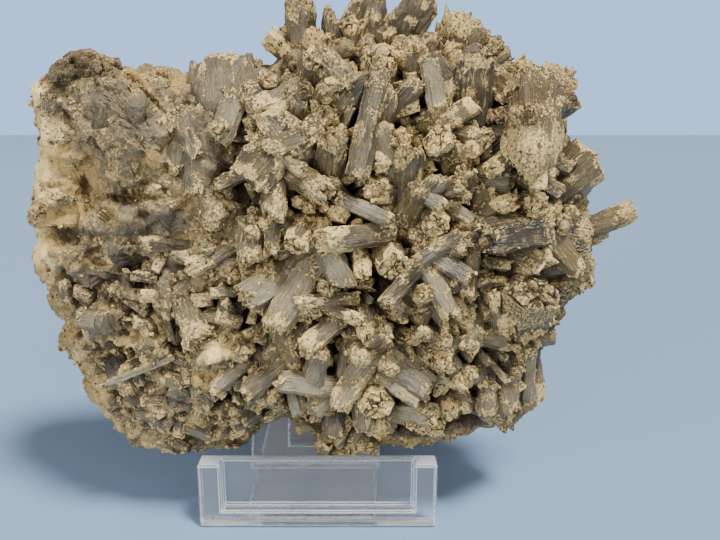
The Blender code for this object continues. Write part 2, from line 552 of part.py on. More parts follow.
def back_crystals(random):
    """The crystals of the back, each leaning out from the mass's centre and to the rear."""
    made = []
    while len(made) < BACK_FILL["count"]:
        angle = random.uniform(-math.pi, math.pi)
        share = math.sqrt(random.uniform(0.0, 0.97))
        radius = share * float(rim_radius(angle))
        x = CENTRE[0] + radius * math.cos(angle)
        z = CENTRE[1] + radius * math.sin(angle)
        turn = math.degrees(angle) + random.uniform(-BACK_FILL["tilt"], BACK_FILL["tilt"])
        rise = -70 + 55 * share + random.uniform(-12, 12)
        wide = random.uniform(*BACK_FILL["wide"])
        flat = wide * random.uniform(0.75, 0.95)
        long = random.uniform(*BACK_FILL["long"])
        out = random.uniform(1.5, 3.5)
        y = MIDDLE_Y + float(back_depth(z) * dome(share)) + out
        if z > 22 or abs(x) > 26:
            end = Vector((x, y, z))
            made.append(crystal("crystal", end, direction(turn, rise), wide, flat, long, random))
    return made


def back_lumps(random):
    """Knobs over the back and the left flank."""
    made = []
    while len(made) < BACK_LUMPS:
        angle = random.uniform(-math.pi, math.pi)
        share = math.sqrt(random.uniform(0.0, 0.95))
        radius = share * float(rim_radius(angle))
        x = CENTRE[0] + radius * math.cos(angle)
        z = CENTRE[1] + radius * math.sin(angle)
        y = MIDDLE_Y + float(back_depth(z) * dome(share))
        size = random.uniform(2.4, 5.0)
        if z > 20:
            made.append(lump("lump", Vector((x, y, z)), size, random))
    return made


def apply_modifiers(made):
    """Makes a piece's evaluated mesh its own mesh."""
    bpy.context.view_layer.update()
    graph = bpy.context.evaluated_depsgraph_get()
    evaluated = bpy.data.meshes.new_from_object(made.evaluated_get(graph))
    made.modifiers.clear()
    made.data = evaluated


def keep_outer_skin(made):
    """Keeps the largest shell of a joined mesh, and drops the others. A shell's faces meet edge to edge."""
    mesh = made.data
    mesh.calc_loop_triangles()
    points = np.array([v.co for v in mesh.vertices])
    triangles = np.array([t.vertices for t in mesh.loop_triangles])
    ends = np.concatenate([triangles[:, [0, 1]], triangles[:, [1, 2]], triangles[:, [2, 0]]])
    edge = np.unique(np.sort(ends, axis=1), axis=0, return_inverse=True)[1].reshape(3, -1)
    shell = np.arange(len(triangles))
    settled = False
    while not settled:
        lowest = np.full(edge.max() + 1, len(triangles))
        np.minimum.at(lowest, edge.ravel(), np.tile(shell, 3))
        joined = lowest[edge].min(axis=0)
        settled = (joined == shell).all()
        shell = joined
    volumes = np.linalg.det(points[triangles])
    totals = np.bincount(shell, weights=volumes)
    used, faces = np.unique(triangles[shell == totals.argmax()], return_inverse=True)
    skin = bpy.data.meshes.new(made.name)
    skin.from_pydata(points[used].tolist(), [], faces.reshape(-1, 3).tolist())
    skin.update()
    made.data = skin


def stand_clearance():
    """Cutters a little larger than the stand's front bar and fork."""
    half = FRONT_WIDE / 2 + GAP
    rear = FRONT_FACE_Y + FRONT_THICK
    inner = FRONT_WIDE / 2 - POST_WIDE - GAP
    wall = rear - WALL_THICK - GAP
    top = FRONT_TALL + GAP
    posts = block("clear_posts", (-half, FRONT_FACE_Y - GAP, 0), (half, rear + GAP, top))
    pocket_low = (-inner, FRONT_FACE_Y - CUT_BEYOND, -CUT_BEYOND)
    pocket = as_helper(block("clear_pocket", pocket_low, (inner, wall, top + CUT_BEYOND)))
    boolean(posts, pocket, "DIFFERENCE")
    reach_out = FORK_WIDE / 2 + GAP
    outline = [(reach_out, 0), (reach_out, FORK_TOP + GAP), (-reach_out, FORK_TOP + GAP), (-reach_out, 0)]
    outline = [(x + FORK_SHIFT, z) for x, z in outline]
    fork = mesh_object("clear_fork", fork_points(outline, GAP, FORK_CUT_THICK), prism_faces(4))
    return [as_helper(posts), as_helper(facing_out(fork))]


def specimen(finish):
    """The grown mass: matrix, crystals and crusts joined into one solid."""
    random = np.random.default_rng(SEED)
    mass = facing_out(matrix_mass())
    tables = (TOP_CRYSTALS, UPPER_CRYSTALS, RIGHT_CRYSTALS, MIDDLE_CRYSTALS, LOWER_CRYSTALS, LEFT_CRYSTALS)
    rows = [row for table in tables for row in table] + face_fill(random)
    grown = [facing_out(set_crystal("crystal", row, random)) for row in rows]
    grown += [facing_out(made) for made in back_crystals(random)]
    for x, z, out, radius in LUMPS:
        y = float(face_y(x, z)) - out
        centre = Vector(float(value) for value in draw_in(x, y, z))
        grown.append(lump("lump", centre, radius, random))
    grown += back_lumps(random)
    together = bpy.data.collections.new("grown")
    for made in grown:
        for home in list(made.users_collection):
            home.objects.unlink(made)
        together.objects.link(made)
    # The exact solver leaves splinters here that hang on the mass by a single edge
    boolean(mass, together, "UNION", "MANIFOLD")
    apply_modifiers(mass)
    keep_outer_skin(mass)
    for cutter in stand_clearance():
        boolean(mass, cutter, "DIFFERENCE", "MANIFOLD")
        apply_modifiers(mass)
        keep_outer_skin(mass)
    mass.data.materials.append(finish)
    for made in grown:
        bpy.data.objects.remove(made, do_unlink=True)
    return mass


def main():
    clear_scene()
    stone = material("aragonite", (0.42, 0.34, 0.22), 0.75)
    acrylic = material("clear_acrylic", (0.95, 0.98, 1.0), 0.04, 1.0, 1.49)
    for made in (stand_front(acrylic), stand_base(acrylic), stand_back(acrylic)):
        facing_out(made)
    specimen(stone)


main()
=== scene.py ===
import itertools
import math

import bmesh
import bpy
import numpy as np
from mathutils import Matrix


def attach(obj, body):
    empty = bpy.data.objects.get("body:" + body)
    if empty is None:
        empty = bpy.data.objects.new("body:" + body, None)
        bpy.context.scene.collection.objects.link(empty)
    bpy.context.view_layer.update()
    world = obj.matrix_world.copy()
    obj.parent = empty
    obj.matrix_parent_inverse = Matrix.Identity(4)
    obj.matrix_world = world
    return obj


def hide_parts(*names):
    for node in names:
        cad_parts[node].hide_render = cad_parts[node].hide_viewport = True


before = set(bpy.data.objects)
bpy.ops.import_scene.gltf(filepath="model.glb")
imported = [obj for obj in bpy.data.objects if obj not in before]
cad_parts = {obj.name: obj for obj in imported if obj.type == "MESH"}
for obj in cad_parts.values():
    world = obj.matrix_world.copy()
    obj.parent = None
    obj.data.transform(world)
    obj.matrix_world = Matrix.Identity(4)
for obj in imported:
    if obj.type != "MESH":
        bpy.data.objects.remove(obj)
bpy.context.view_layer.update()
mm = 0.001

# The specimen's own form, in millimetres, after the frame's
form = {
    "middleY": -12.0,  # the plane that the rim lies in
    "frontDepth": 13.5,
    "backDepth": 17.5,
    "backFoot": (0.34, 10.0, 48.0),  # least share of the back's depth, its height, and the rise to the whole
    "centre": (0.0, 48.0),
    "gridCentre": (-20.0, 48.0),
    "rimStart": 0.19,  # share of the rim's length where the grid's first side starts
    "drawPoint": (8.0, 86.8),  # x and z of the point that the front narrows towards
    "drawLength": 147.6,
    "bluntness": 0.5,
    "innerReach": 0.9999,  # farthest reach of a point that isn't on the rim
    "sunk": 1.0,  # how far every crystal is set into the face
    "crowdLeft": -14.0,  # the crowd of crystals starts to the right of this
}

# Rim of the mass in its middle plane, x and z, clockwise from the left shoulder
rim = np.array((
    (-51.3, 77.8), (-51.0, 81.0), (-48.0, 83.8), (-46.0, 85.3), (-43.5, 87.5), (-41.0, 87.3),
    (-39.2, 86.1), (-35.3, 86.0), (-34.0, 83.8), (-30.2, 84.2), (-27.3, 84.8), (-24.5, 84.0),
    (-20.0, 83.5), (-15.0, 82.5), (-11.0, 83.0), (-7.0, 85.5), (-2.0, 88.0), (3.0, 89.0),
    (8.0, 90.0), (13.0, 91.0), (18.0, 91.0), (23.0, 90.0), (28.0, 88.0), (32.0, 85.5),
    (36.0, 83.0), (40.0, 82.0), (43.5, 81.5), (45.0, 79.0), (45.0, 76.0), (46.0, 72.5),
    (48.5, 68.5), (50.0, 64.5), (50.5, 60.0), (51.5, 56.0), (52.2, 52.0), (52.0, 48.0),
    (50.0, 44.5), (48.2, 41.0), (47.4, 36.5), (44.6, 33.0), (43.3, 29.0), (43.6, 24.0),
    (43.0, 19.5), (41.0, 16.5), (37.0, 15.0), (32.0, 14.5), (28.0, 13.0), (24.0, 11.5),
    (18.0, 11.0), (12.0, 10.5), (7.0, 10.0), (2.0, 10.5), (-3.0, 14.0), (-7.5, 17.0),
    (-12.0, 14.5), (-16.0, 10.5), (-21.0, 10.2), (-26.0, 9.5), (-30.0, 8.4), (-34.0, 9.8),
    (-38.6, 10.9), (-39.4, 13.4), (-42.5, 17.0), (-45.4, 20.6), (-46.8, 25.0), (-47.8, 28.6),
    (-49.8, 31.0), (-50.0, 34.4), (-48.9, 37.2), (-51.3, 39.9), (-52.4, 43.2), (-53.6, 46.4),
    (-54.4, 49.6), (-53.0, 53.4), (-54.3, 57.4), (-52.4, 61.4), (-52.6, 65.6), (-50.6, 68.6),
    (-50.4, 73.0),
))


# Lattice number: the cell's whole numbers mixed by products and shifts
def mixedBits(cell, seed):
    n = (cell * (374761393, 668265263, 1274126177)).sum(-1) + seed * 1442695
    n = (n ^ (n >> 13)) * 1103515245 & 0xFFFFFFFF
    n = (n ^ (n >> 15)) * 668265263 & 0xFFFFFFFF
    return n ^ (n >> 16)


# Lattice value: one share from 0 to 1 for each cell
def hashed(cell, seed):
    return mixedBits(cell, seed) % 65536 / 65536


# Lattice spot: three shares from 0 to 1 for each cell, ten bits each
def hashedSpot(cell, seed):
    n = mixedBits(cell, seed)
    return np.stack([n & 1023, n >> 10 & 1023, n >> 20 & 1023], -1) / 1024


# Smooth noise: values at a cell's eight corners, blended by 3f^2 - 2f^3, from -1 to 1
def smoothNoise(p, size, seed):
    q = np.asarray(p) / size
    low = np.floor(q).astype(np.int64)
    f = q - low
    w = f * f * (3 - 2 * f)
    total = np.zeros(q.shape[:-1])
    for corner in itertools.product((0, 1), repeat=3):
        weight = np.prod(abs(1 - np.array(corner) - w), axis=-1)
        total += weight * hashed(low + corner, seed)
    return 2 * total - 1


# Layered noise: each layer is half as large and half as strong as the one before
def layeredNoise(p, size, seed, layers=3):
    return sum(smoothNoise(p, np.asarray(size) / 2**i, seed + i) / 2**i for i in range(layers))


# Cell noise: one point in each cell. It gives the nearest's distance, how much farther the next one is, the
# nearest's own value, and the height of the nearest's own tilted facet
def cellNoise(p, size, seed):
    q = np.asarray(p) / size
    low = np.floor(q).astype(np.int64)
    first = np.full(q.shape[:-1], 9.0)
    second = first.copy()
    best = low.copy()
    for step in itertools.product((-1, 0, 1), repeat=3):
        cell = low + step
        away = np.linalg.norm(q - cell - hashedSpot(cell, seed), axis=-1)
        closer = away < first
        second = np.where(closer, first, np.minimum(second, away))
        first = np.where(closer, away, first)
        best = np.where(closer[..., None], cell, best)
    offset = q - best - hashedSpot(best, seed)
    facet = (offset * (hashedSpot(best, seed + 5) - 0.5)).sum(-1)
    return first, second - first, hashed(best, seed + 3), facet


# Broken blocks: each cell at its own height and tilt, with a crack round it; the height and the crack's share
def blockNoise(p, size, seed, tilt=1.3, depth=0.4):
    _, gap, own, facet = cellNoise(p, size, seed)
    crack = smoothStep(0.14, 0.0, gap)
    return own - 0.5 + tilt * facet - depth * crack, crack


# Smooth step: 3f^2 - 2f^3 of the share f of the way from low to high
def smoothStep(low, high, value):
    f = np.clip((value - low) / (high - low), 0, 1)
    return f * f * (3 - 2 * f)


# Unit vectors: each divided by its own length
def unit(v):
    return v / np.maximum(np.linalg.norm(v, axis=-1, keepdims=True), 1e-9)


# Distance from the form's centre as a share of the rim's, 0 to 1, straight between the rim's points
def reach(x, z):
    spoke = rim - form["centre"]
    turn = np.arctan2(spoke[:, 1], spoke[:, 0])
    order = np.argsort(turn)
    dx, dz = x - form["centre"][0], z - form["centre"][1]
    radii = np.hypot(spoke[order, 0], spoke[order, 1])
    return np.hypot(dx, dz) / np.interp(np.arctan2(dz, dx), turn[order], radii, period=2 * math.pi)


# Dome: (1 - share^4) to the power of the bluntness
def dome(share):
    return np.clip(1 - np.clip(share, 0, 1) ** 4, 0, 1) ** form["bluntness"]


# Face: the middle plane's y less the front's depth times the dome
def faceY(x, z):
    return form["middleY"] - form["frontDepth"] * dome(reach(x, z))


# Depth of the back: a share that grows straight with height, from the least at the foot to 1
def backDepth(z):
    least, start, rise = form["backFoot"]
    return form["backDepth"] * np.clip(least + (z - start) / rise, least, 1)


# What lies in front of the middle plane narrows towards one point, by its distance over the draw length
def drawShare(y):
    return 1 + np.minimum(y - form["middleY"], 0) / form["drawLength"]


# Drawn in: x and z scaled about the draw point by the draw share
def drawIn(p):
    k = drawShare(p[..., 1])
    px, pz = form["drawPoint"]
    return np.stack([px + (p[..., 0] - px) * k, p[..., 1], pz + (p[..., 2] - pz) * k], -1)


# A mesh object from millimetre points, with any face sides, per-point values and per-corner UVs
def makePiece(name, points, faces, finish, values, uvs, sharp):
    mesh = bpy.data.meshes.new(name)
    sizes = np.concatenate([np.full(len(f), f.shape[1]) for f in faces])
    corners = np.concatenate([f.ravel() for f in faces])
    mesh.vertices.add(len(points))
    mesh.vertices.foreach_set("co", (np.asarray(points) * mm).astype(np.float32).ravel())
    mesh.loops.add(len(corners))
    mesh.loops.foreach_set("vertex_index", corners.astype(np.int32))
    mesh.polygons.add(len(sizes))
    starts = np.concatenate([[0], np.cumsum(sizes)[:-1]])
    mesh.polygons.foreach_set("loop_start", starts.astype(np.int32))
    mesh.update(calc_edges=True)
    for label, value in values.items():
        wide = value.ndim == 2
        layer = mesh.attributes.new(label, "FLOAT_COLOR" if wide else "FLOAT", "POINT")
        layer.data.foreach_set("color" if wide else "value", value.astype(np.float32).ravel())
    mesh.uv_layers.new(name="streaks").data.foreach_set("uv", uvs.astype(np.float32).ravel())
    mesh.validate()
    mesh.shade_smooth()
    mesh.set_sharp_from_angle(angle=math.radians(sharp))
    piece = bpy.data.objects.new(name, mesh)
    bpy.context.scene.collection.objects.link(piece)
    mesh.materials.append(finish)
    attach(piece, "root")
    return piece


# Shader effects, each a node group used by more than one material

# A group with its sockets
def groupOf(name, inputs, outputs):
    tree = bpy.data.node_groups.new(name, "ShaderNodeTree")
    for label, kind, value in inputs:
        socket = tree.interface.new_socket(label, in_out="INPUT", socket_type=kind)
        socket.default_value = value
    for label, kind in outputs:
        tree.interface.new_socket(label, in_out="OUTPUT", socket_type=kind)
    return tree, tree.nodes.new("NodeGroupInput"), tree.nodes.new("NodeGroupOutput")


# A node with its settings, and its inputs linked or set
def addNode(tree, kind, links=None, **fixed):
    node = tree.nodes.new(kind)
    for label, value in fixed.items():
        setattr(node, label, value)
    for label, source in (links or {}).items():
        socket = node.inputs[label]
        if isinstance(source, bpy.types.NodeSocket):
            tree.links.new(source, socket)
        else:
            socket.default_value = source
    return node


def useGroup(tree, group, links):
    return addNode(tree, "ShaderNodeGroup", links, node_tree=group)


def maths(tree, operation, a, b=0.0, clamp=False):
    return addNode(tree, "ShaderNodeMath", {0: a, 1: b}, operation=operation, use_clamp=clamp).outputs[0]


def plus(tree, a, b, clamp=False):
    return maths(tree, "ADD", a, b, clamp)


def minus(tree, a, b):
    return maths(tree, "SUBTRACT", a, b)


def times(tree, a, b):
    return maths(tree, "MULTIPLY", a, b)


# A value's swing about a half, times a share
def swing(tree, value, share):
    return times(tree, minus(tree, value, 0.5), share)


def mixed(tree, share, a, b):
    return addNode(tree, "ShaderNodeMix", {0: share, 6: a, 7: b}, data_type="RGBA").outputs[2]


# A value's smooth step from low to high, put out from outLow to outHigh
def ranged(tree, value, low, high, outLow=0.0, outHigh=1.0):
    links = {0: value, 1: low, 2: high, 3: outLow, 4: outHigh}
    return addNode(tree, "ShaderNodeMapRange", links, interpolation_type="SMOOTHSTEP").outputs[0]


def attribute(tree, name):
    return addNode(tree, "ShaderNodeAttribute", attribute_name=name).outputs["Fac"]


def objectPlace(tree):
    return addNode(tree, "ShaderNodeTexCoord").outputs["Object"]


def noiseAt(tree, place, scale, detail, roughness=0.62):
    links = {"Vector": place, "Scale": scale, "Detail": detail, "Roughness": roughness}
    return addNode(tree, "ShaderNodeTexNoise", links).outputs["Fac"]


# Clay grain: coarse and fine noise, with pits where the middle noise is lowest, on Object coordinates
def clayGrainGroup():
    inputs = (("Scale", "NodeSocketFloat", 900.0), ("Pits", "NodeSocketFloat", 0.8))
    outputs = (("Tone", "NodeSocketFloat"), ("Speck", "NodeSocketFloat"), ("Fine", "NodeSocketFloat"),
               ("Pit", "NodeSocketFloat"), ("Height", "NodeSocketFloat"))
    tree, start, end = groupOf("clayGrain", inputs, outputs)
    place = objectPlace(tree)
    scale = start.outputs["Scale"]
    coarse = noiseAt(tree, place, times(tree, scale, 0.30), 5.0, 0.66)
    fine = noiseAt(tree, place, times(tree, scale, 2.0), 3.0, 0.7)
    middle = noiseAt(tree, place, times(tree, scale, 1.5), 2.0, 0.6)
    pit = times(tree, ranged(tree, middle, 0.34, 0.43, 1.0, 0.0), start.outputs["Pits"])
    height = plus(tree, coarse, times(tree, fine, 0.9))
    tree.links.new(ranged(tree, coarse, 0.32, 0.66), end.inputs["Tone"])
    tree.links.new(ranged(tree, fine, 0.50, 0.60), end.inputs["Speck"])
    tree.links.new(fine, end.inputs["Fine"])
    tree.links.new(pit, end.inputs["Pit"])
    tree.links.new(minus(tree, height, times(tree, pit, 0.45)), end.inputs["Height"])
    return tree


# Fibre streaks on the piece's own UVs, in millimetres: noise drawn out along the length. Scratches are the
# thin lines where a drawn-out noise crosses its middle value, fading in and out by a slower noise
def fibreStreakGroup():
    inputs = (("Across", "NodeSocketFloat", 2.0), ("Along", "NodeSocketFloat", 0.25))
    outputs = (("Tone", "NodeSocketFloat"), ("Scratch", "NodeSocketFloat"), ("Height", "NodeSocketFloat"))
    tree, start, end = groupOf("fibreStreak", inputs, outputs)
    uv = addNode(tree, "ShaderNodeUVMap", uv_map="streaks").outputs["UV"]
    stretch = addNode(tree, "ShaderNodeCombineXYZ",
                      {"X": start.outputs["Across"], "Y": start.outputs["Along"], "Z": 1.0}).outputs[0]
    along = addNode(tree, "ShaderNodeVectorMath", {0: uv, 1: stretch}, operation="MULTIPLY").outputs[0]
    both = plus(tree, times(tree, noiseAt(tree, along, 1.0, 3.0), 0.5),
                times(tree, noiseAt(tree, along, 2.7, 2.0), 0.5))
    slow = noiseAt(tree, uv, 0.45, 2.0)
    line = maths(tree, "ABSOLUTE", minus(tree, noiseAt(tree, along, 0.62, 4.0), 0.5))
    scratch = times(tree, ranged(tree, line, 0.012, 0.040, 1.0, 0.0), ranged(tree, slow, 0.42, 0.56))
    tree.links.new(ranged(tree, both, 0.36, 0.64), end.inputs["Tone"])
    tree.links.new(scratch, end.inputs["Scratch"])
    tree.links.new(plus(tree, both, times(tree, scratch, 0.3)), end.inputs["Height"])
    return tree


# Painted shade with dirt in the hollows: darkens a colour towards a near-black brown where the hollow
# attribute is high, broken up by a grain
def hollowDirtAndShadeGroup():
    inputs = (("Color", "NodeSocketColor", (0.5, 0.5, 0.5, 1)), ("Grain", "NodeSocketFloat", 0.5),
              ("Depth", "NodeSocketFloat", 0.9))
    tree, start, end = groupOf("hollowDirtAndShade", inputs, (("Color", "NodeSocketColor"),))
    deep = plus(tree, attribute(tree, "hollow"), swing(tree, start.outputs["Grain"], 0.25))
    share = times(tree, ranged(tree, deep, 0.08, 0.78), start.outputs["Depth"])
    # the near-black brown of painted shade, with dirt, in the hollows
    dark = mixed(tree, share, start.outputs["Color"], (0.024, 0.012, 0.003, 1))
    tree.links.new(dark, end.inputs["Color"])
    return tree


clayGrain = clayGrainGroup()
fibreStreak = fibreStreakGroup()
hollowDirtAndShade = hollowDirtAndShadeGroup()


def newMaterial(name):
    finish = bpy.data.materials.new(name)
    finish.use_nodes = True
    tree = finish.node_tree
    return finish, tree, tree.nodes["Principled BSDF"]


clayColours = {
    "brown": (0.100, 0.065, 0.026, 1),
    "tan": (0.300, 0.226, 0.110, 1),
    "cream": (1.000, 0.720, 0.290, 1),
    "ochre": (0.400, 0.265, 0.096, 1),
    "slate": (0.138, 0.110, 0.068, 1),
    "umber": (0.045, 0.028, 0.011, 1),
}
stainKinds = ("ochre", "cream", "slate", "umber")


# Clay: tan over brown by grain, with specks of cream and dark pits
def clayColour(tree, grain, speck, low):
    shade = plus(tree, times(tree, grain.outputs["Tone"], 0.55),
                 ranged(tree, grain.outputs["Fine"], 0.36, 0.60, low, 0.60), clamp=True)
    base = mixed(tree, shade, clayColours["brown"], clayColours["tan"])
    base = mixed(tree, times(tree, grain.outputs["Speck"], speck), base, clayColours["cream"])
    return mixed(tree, times(tree, grain.outputs["Pit"], 0.65), base, clayColours["umber"])


# Matrix: clay with fibres, stained ochre, cream, slate or umber where the stain attribute says
def matrixMaterial():
    finish, tree, shader = newMaterial("aragoniteMatrix")
    grain = useGroup(tree, clayGrain, {"Scale": 800.0, "Pits": 0.8})
    streak = useGroup(tree, fibreStreak, {"Across": 1.5, "Along": 0.30})
    colour = clayColour(tree, grain, 0.35, 0.12)
    place = objectPlace(tree)
    # Patches of the whole piece: scale, where the noise starts to show, strongest share and colour
    for scale, low, most, name in ((310.0, 0.46, 0.85, "slate"), (190.0, 0.53, 0.65, "ochre")):
        patch = noiseAt(tree, place, scale, 4.0)
        colour = mixed(tree, ranged(tree, patch, low, low + 0.12, 0.0, most), colour, clayColours[name])
    stain = addNode(tree, "ShaderNodeAttribute", attribute_name="stain")
    parts = addNode(tree, "ShaderNodeSeparateColor", {0: stain.outputs["Color"]}).outputs
    for amount, name in zip((parts[0], parts[1], parts[2], stain.outputs["Alpha"]), stainKinds):
        uneven = times(tree, amount, ranged(tree, grain.outputs["Tone"], -0.9, 0.7))
        colour = mixed(tree, uneven, colour, clayColours[name])
    colour = mixed(tree, times(tree, streak.outputs["Scratch"], 0.12), colour, clayColours["cream"])
    # painted shade, with dirt, darkens the matrix's hollows
    shadedAndDirty = useGroup(tree, hollowDirtAndShade, {"Color": colour, "Grain": grain.outputs["Tone"], "Depth": 0.88})
    tree.links.new(shadedAndDirty.outputs[0], shader.inputs["Base Color"])
    tree.links.new(ranged(tree, parts[2], 0.0, 1.0, 0.88, 0.45), shader.inputs["Roughness"])
    relief = plus(tree, grain.outputs["Height"], times(tree, streak.outputs["Height"], 0.3))
    bump = addNode(tree, "ShaderNodeBump", {"Height": relief, "Strength": 0.9, "Distance": 0.0006})
    tree.links.new(bump.outputs[0], shader.inputs["Normal"])
    shader.inputs["Specular IOR Level"].default_value = 0.3
    return finish


crystalColours = {
    "dark": (0.034, 0.028, 0.019, 1),
    "pale": (0.315, 0.268, 0.170, 1),
    "brown": (0.165, 0.112, 0.042, 1),
}


# Crystal: grey to pale by tone, browned by warmth, streaked and scratched along its length, clay where the
# crust is, and cracked in blocks where the cap is
def crystalMaterial():
    finish, tree, shader = newMaterial("aragoniteCrystal")
    grain = useGroup(tree, clayGrain, {"Scale": 1150.0, "Pits": 1.0})
    streak = useGroup(tree, fibreStreak, {"Across": 2.6, "Along": 0.13})
    shade = plus(tree, attribute(tree, "tone"), swing(tree, streak.outputs["Tone"], 0.30), clamp=True)
    colour = mixed(tree, shade, crystalColours["dark"], crystalColours["pale"])
    colour = mixed(tree, times(tree, attribute(tree, "warm"), 0.75), colour, crystalColours["brown"])
    colour = mixed(tree, times(tree, streak.outputs["Scratch"], 0.30), colour, clayColours["cream"])
    # Crust: the attribute, broken up by grain and running on along the streaks
    broken = plus(tree, times(tree, attribute(tree, "crust"), 1.3), 1.3)
    edge = plus(tree, attribute(tree, "crust"), swing(tree, grain.outputs["Fine"], broken))
    edge = plus(tree, edge, swing(tree, streak.outputs["Tone"], 0.45))
    crust = ranged(tree, edge, 0.36, 0.58)
    colour = mixed(tree, crust, colour, clayColour(tree, grain, 0.65, 0.0))
    bright = times(tree, attribute(tree, "bright"), times(tree, crust, 0.75))
    bright = times(tree, bright, minus(tree, 1.0, grain.outputs["Pit"]))
    colour = mixed(tree, bright, colour, clayColours["cream"])
    # Cracks of the cap: thin lines between cells about 3 mm wide
    place = objectPlace(tree)
    wobble = addNode(tree, "ShaderNodeTexNoise", {"Vector": place, "Scale": 500.0, "Detail": 2.0})
    bend = {0: wobble.outputs["Color"], 1: (0.0012, 0.0012, 0.0012), 2: place}
    bent = addNode(tree, "ShaderNodeVectorMath", bend, operation="MULTIPLY_ADD").outputs[0]
    away = addNode(tree, "ShaderNodeTexVoronoi", {"Vector": bent, "Scale": 320.0, "Randomness": 0.85},
                   feature="DISTANCE_TO_EDGE").outputs["Distance"]
    width = plus(tree, 0.035, times(tree, attribute(tree, "cap"), 0.055))
    crack = times(tree, ranged(tree, away, 0.015, width, 1.0, 0.0),
                  ranged(tree, attribute(tree, "cap"), 0.0, 0.4))
    colour = mixed(tree, times(tree, crack, 0.95), colour, clayColours["umber"])
    # painted shade, with dirt, darkens the crystals' hollows
    shadedAndDirty = useGroup(tree, hollowDirtAndShade, {"Color": colour, "Grain": grain.outputs["Tone"], "Depth": 0.92})
    tree.links.new(shadedAndDirty.outputs[0], shader.inputs["Base Color"])
    glass = ranged(tree, streak.outputs["Tone"], 0.2, 0.8, 0.20, 0.42)
    tree.links.new(ranged(tree, crust, 0.0, 1.0, glass, 0.9), shader.inputs["Roughness"])
    relief = plus(tree, times(tree, grain.outputs["Height"], crust),
                  times(tree, streak.outputs["Height"], minus(tree, 1.0, crust)))
    relief = minus(tree, relief, crack)
    bump = addNode(tree, "ShaderNodeBump", {"Height": relief, "Strength": 1.0, "Distance": 0.0006})
    tree.links.new(bump.outputs[0], shader.inputs["Normal"])
    return finish


# Clear acrylic: plain transmission and IOR, with a faint unevenness of the polish; its cut edges are duller
def acrylicMaterial(name, smooth, dull, clear):
    finish, tree, shader = newMaterial(name)
    shader.inputs["Base Color"].default_value = (0.98, 0.99, 1.0, 1)
    shader.inputs["Transmission Weight"].default_value = clear
    shader.inputs["IOR"].default_value = 1.49
    grain = useGroup(tree, clayGrain, {"Scale": 260.0, "Pits": 0.0})
    tree.links.new(ranged(tree, grain.outputs["Tone"], 0.2, 0.9, smooth, dull), shader.inputs["Roughness"])
    return finish


matrixFinish = matrixMaterial()
crystalFinish = crystalMaterial()
acrylicFinish = acrylicMaterial("clearAcrylic", 0.04, 0.12, 0.95)
acrylicEdgeFinish = acrylicMaterial("acrylicCutEdge", 0.25, 0.40, 0.70)
print("materials done")

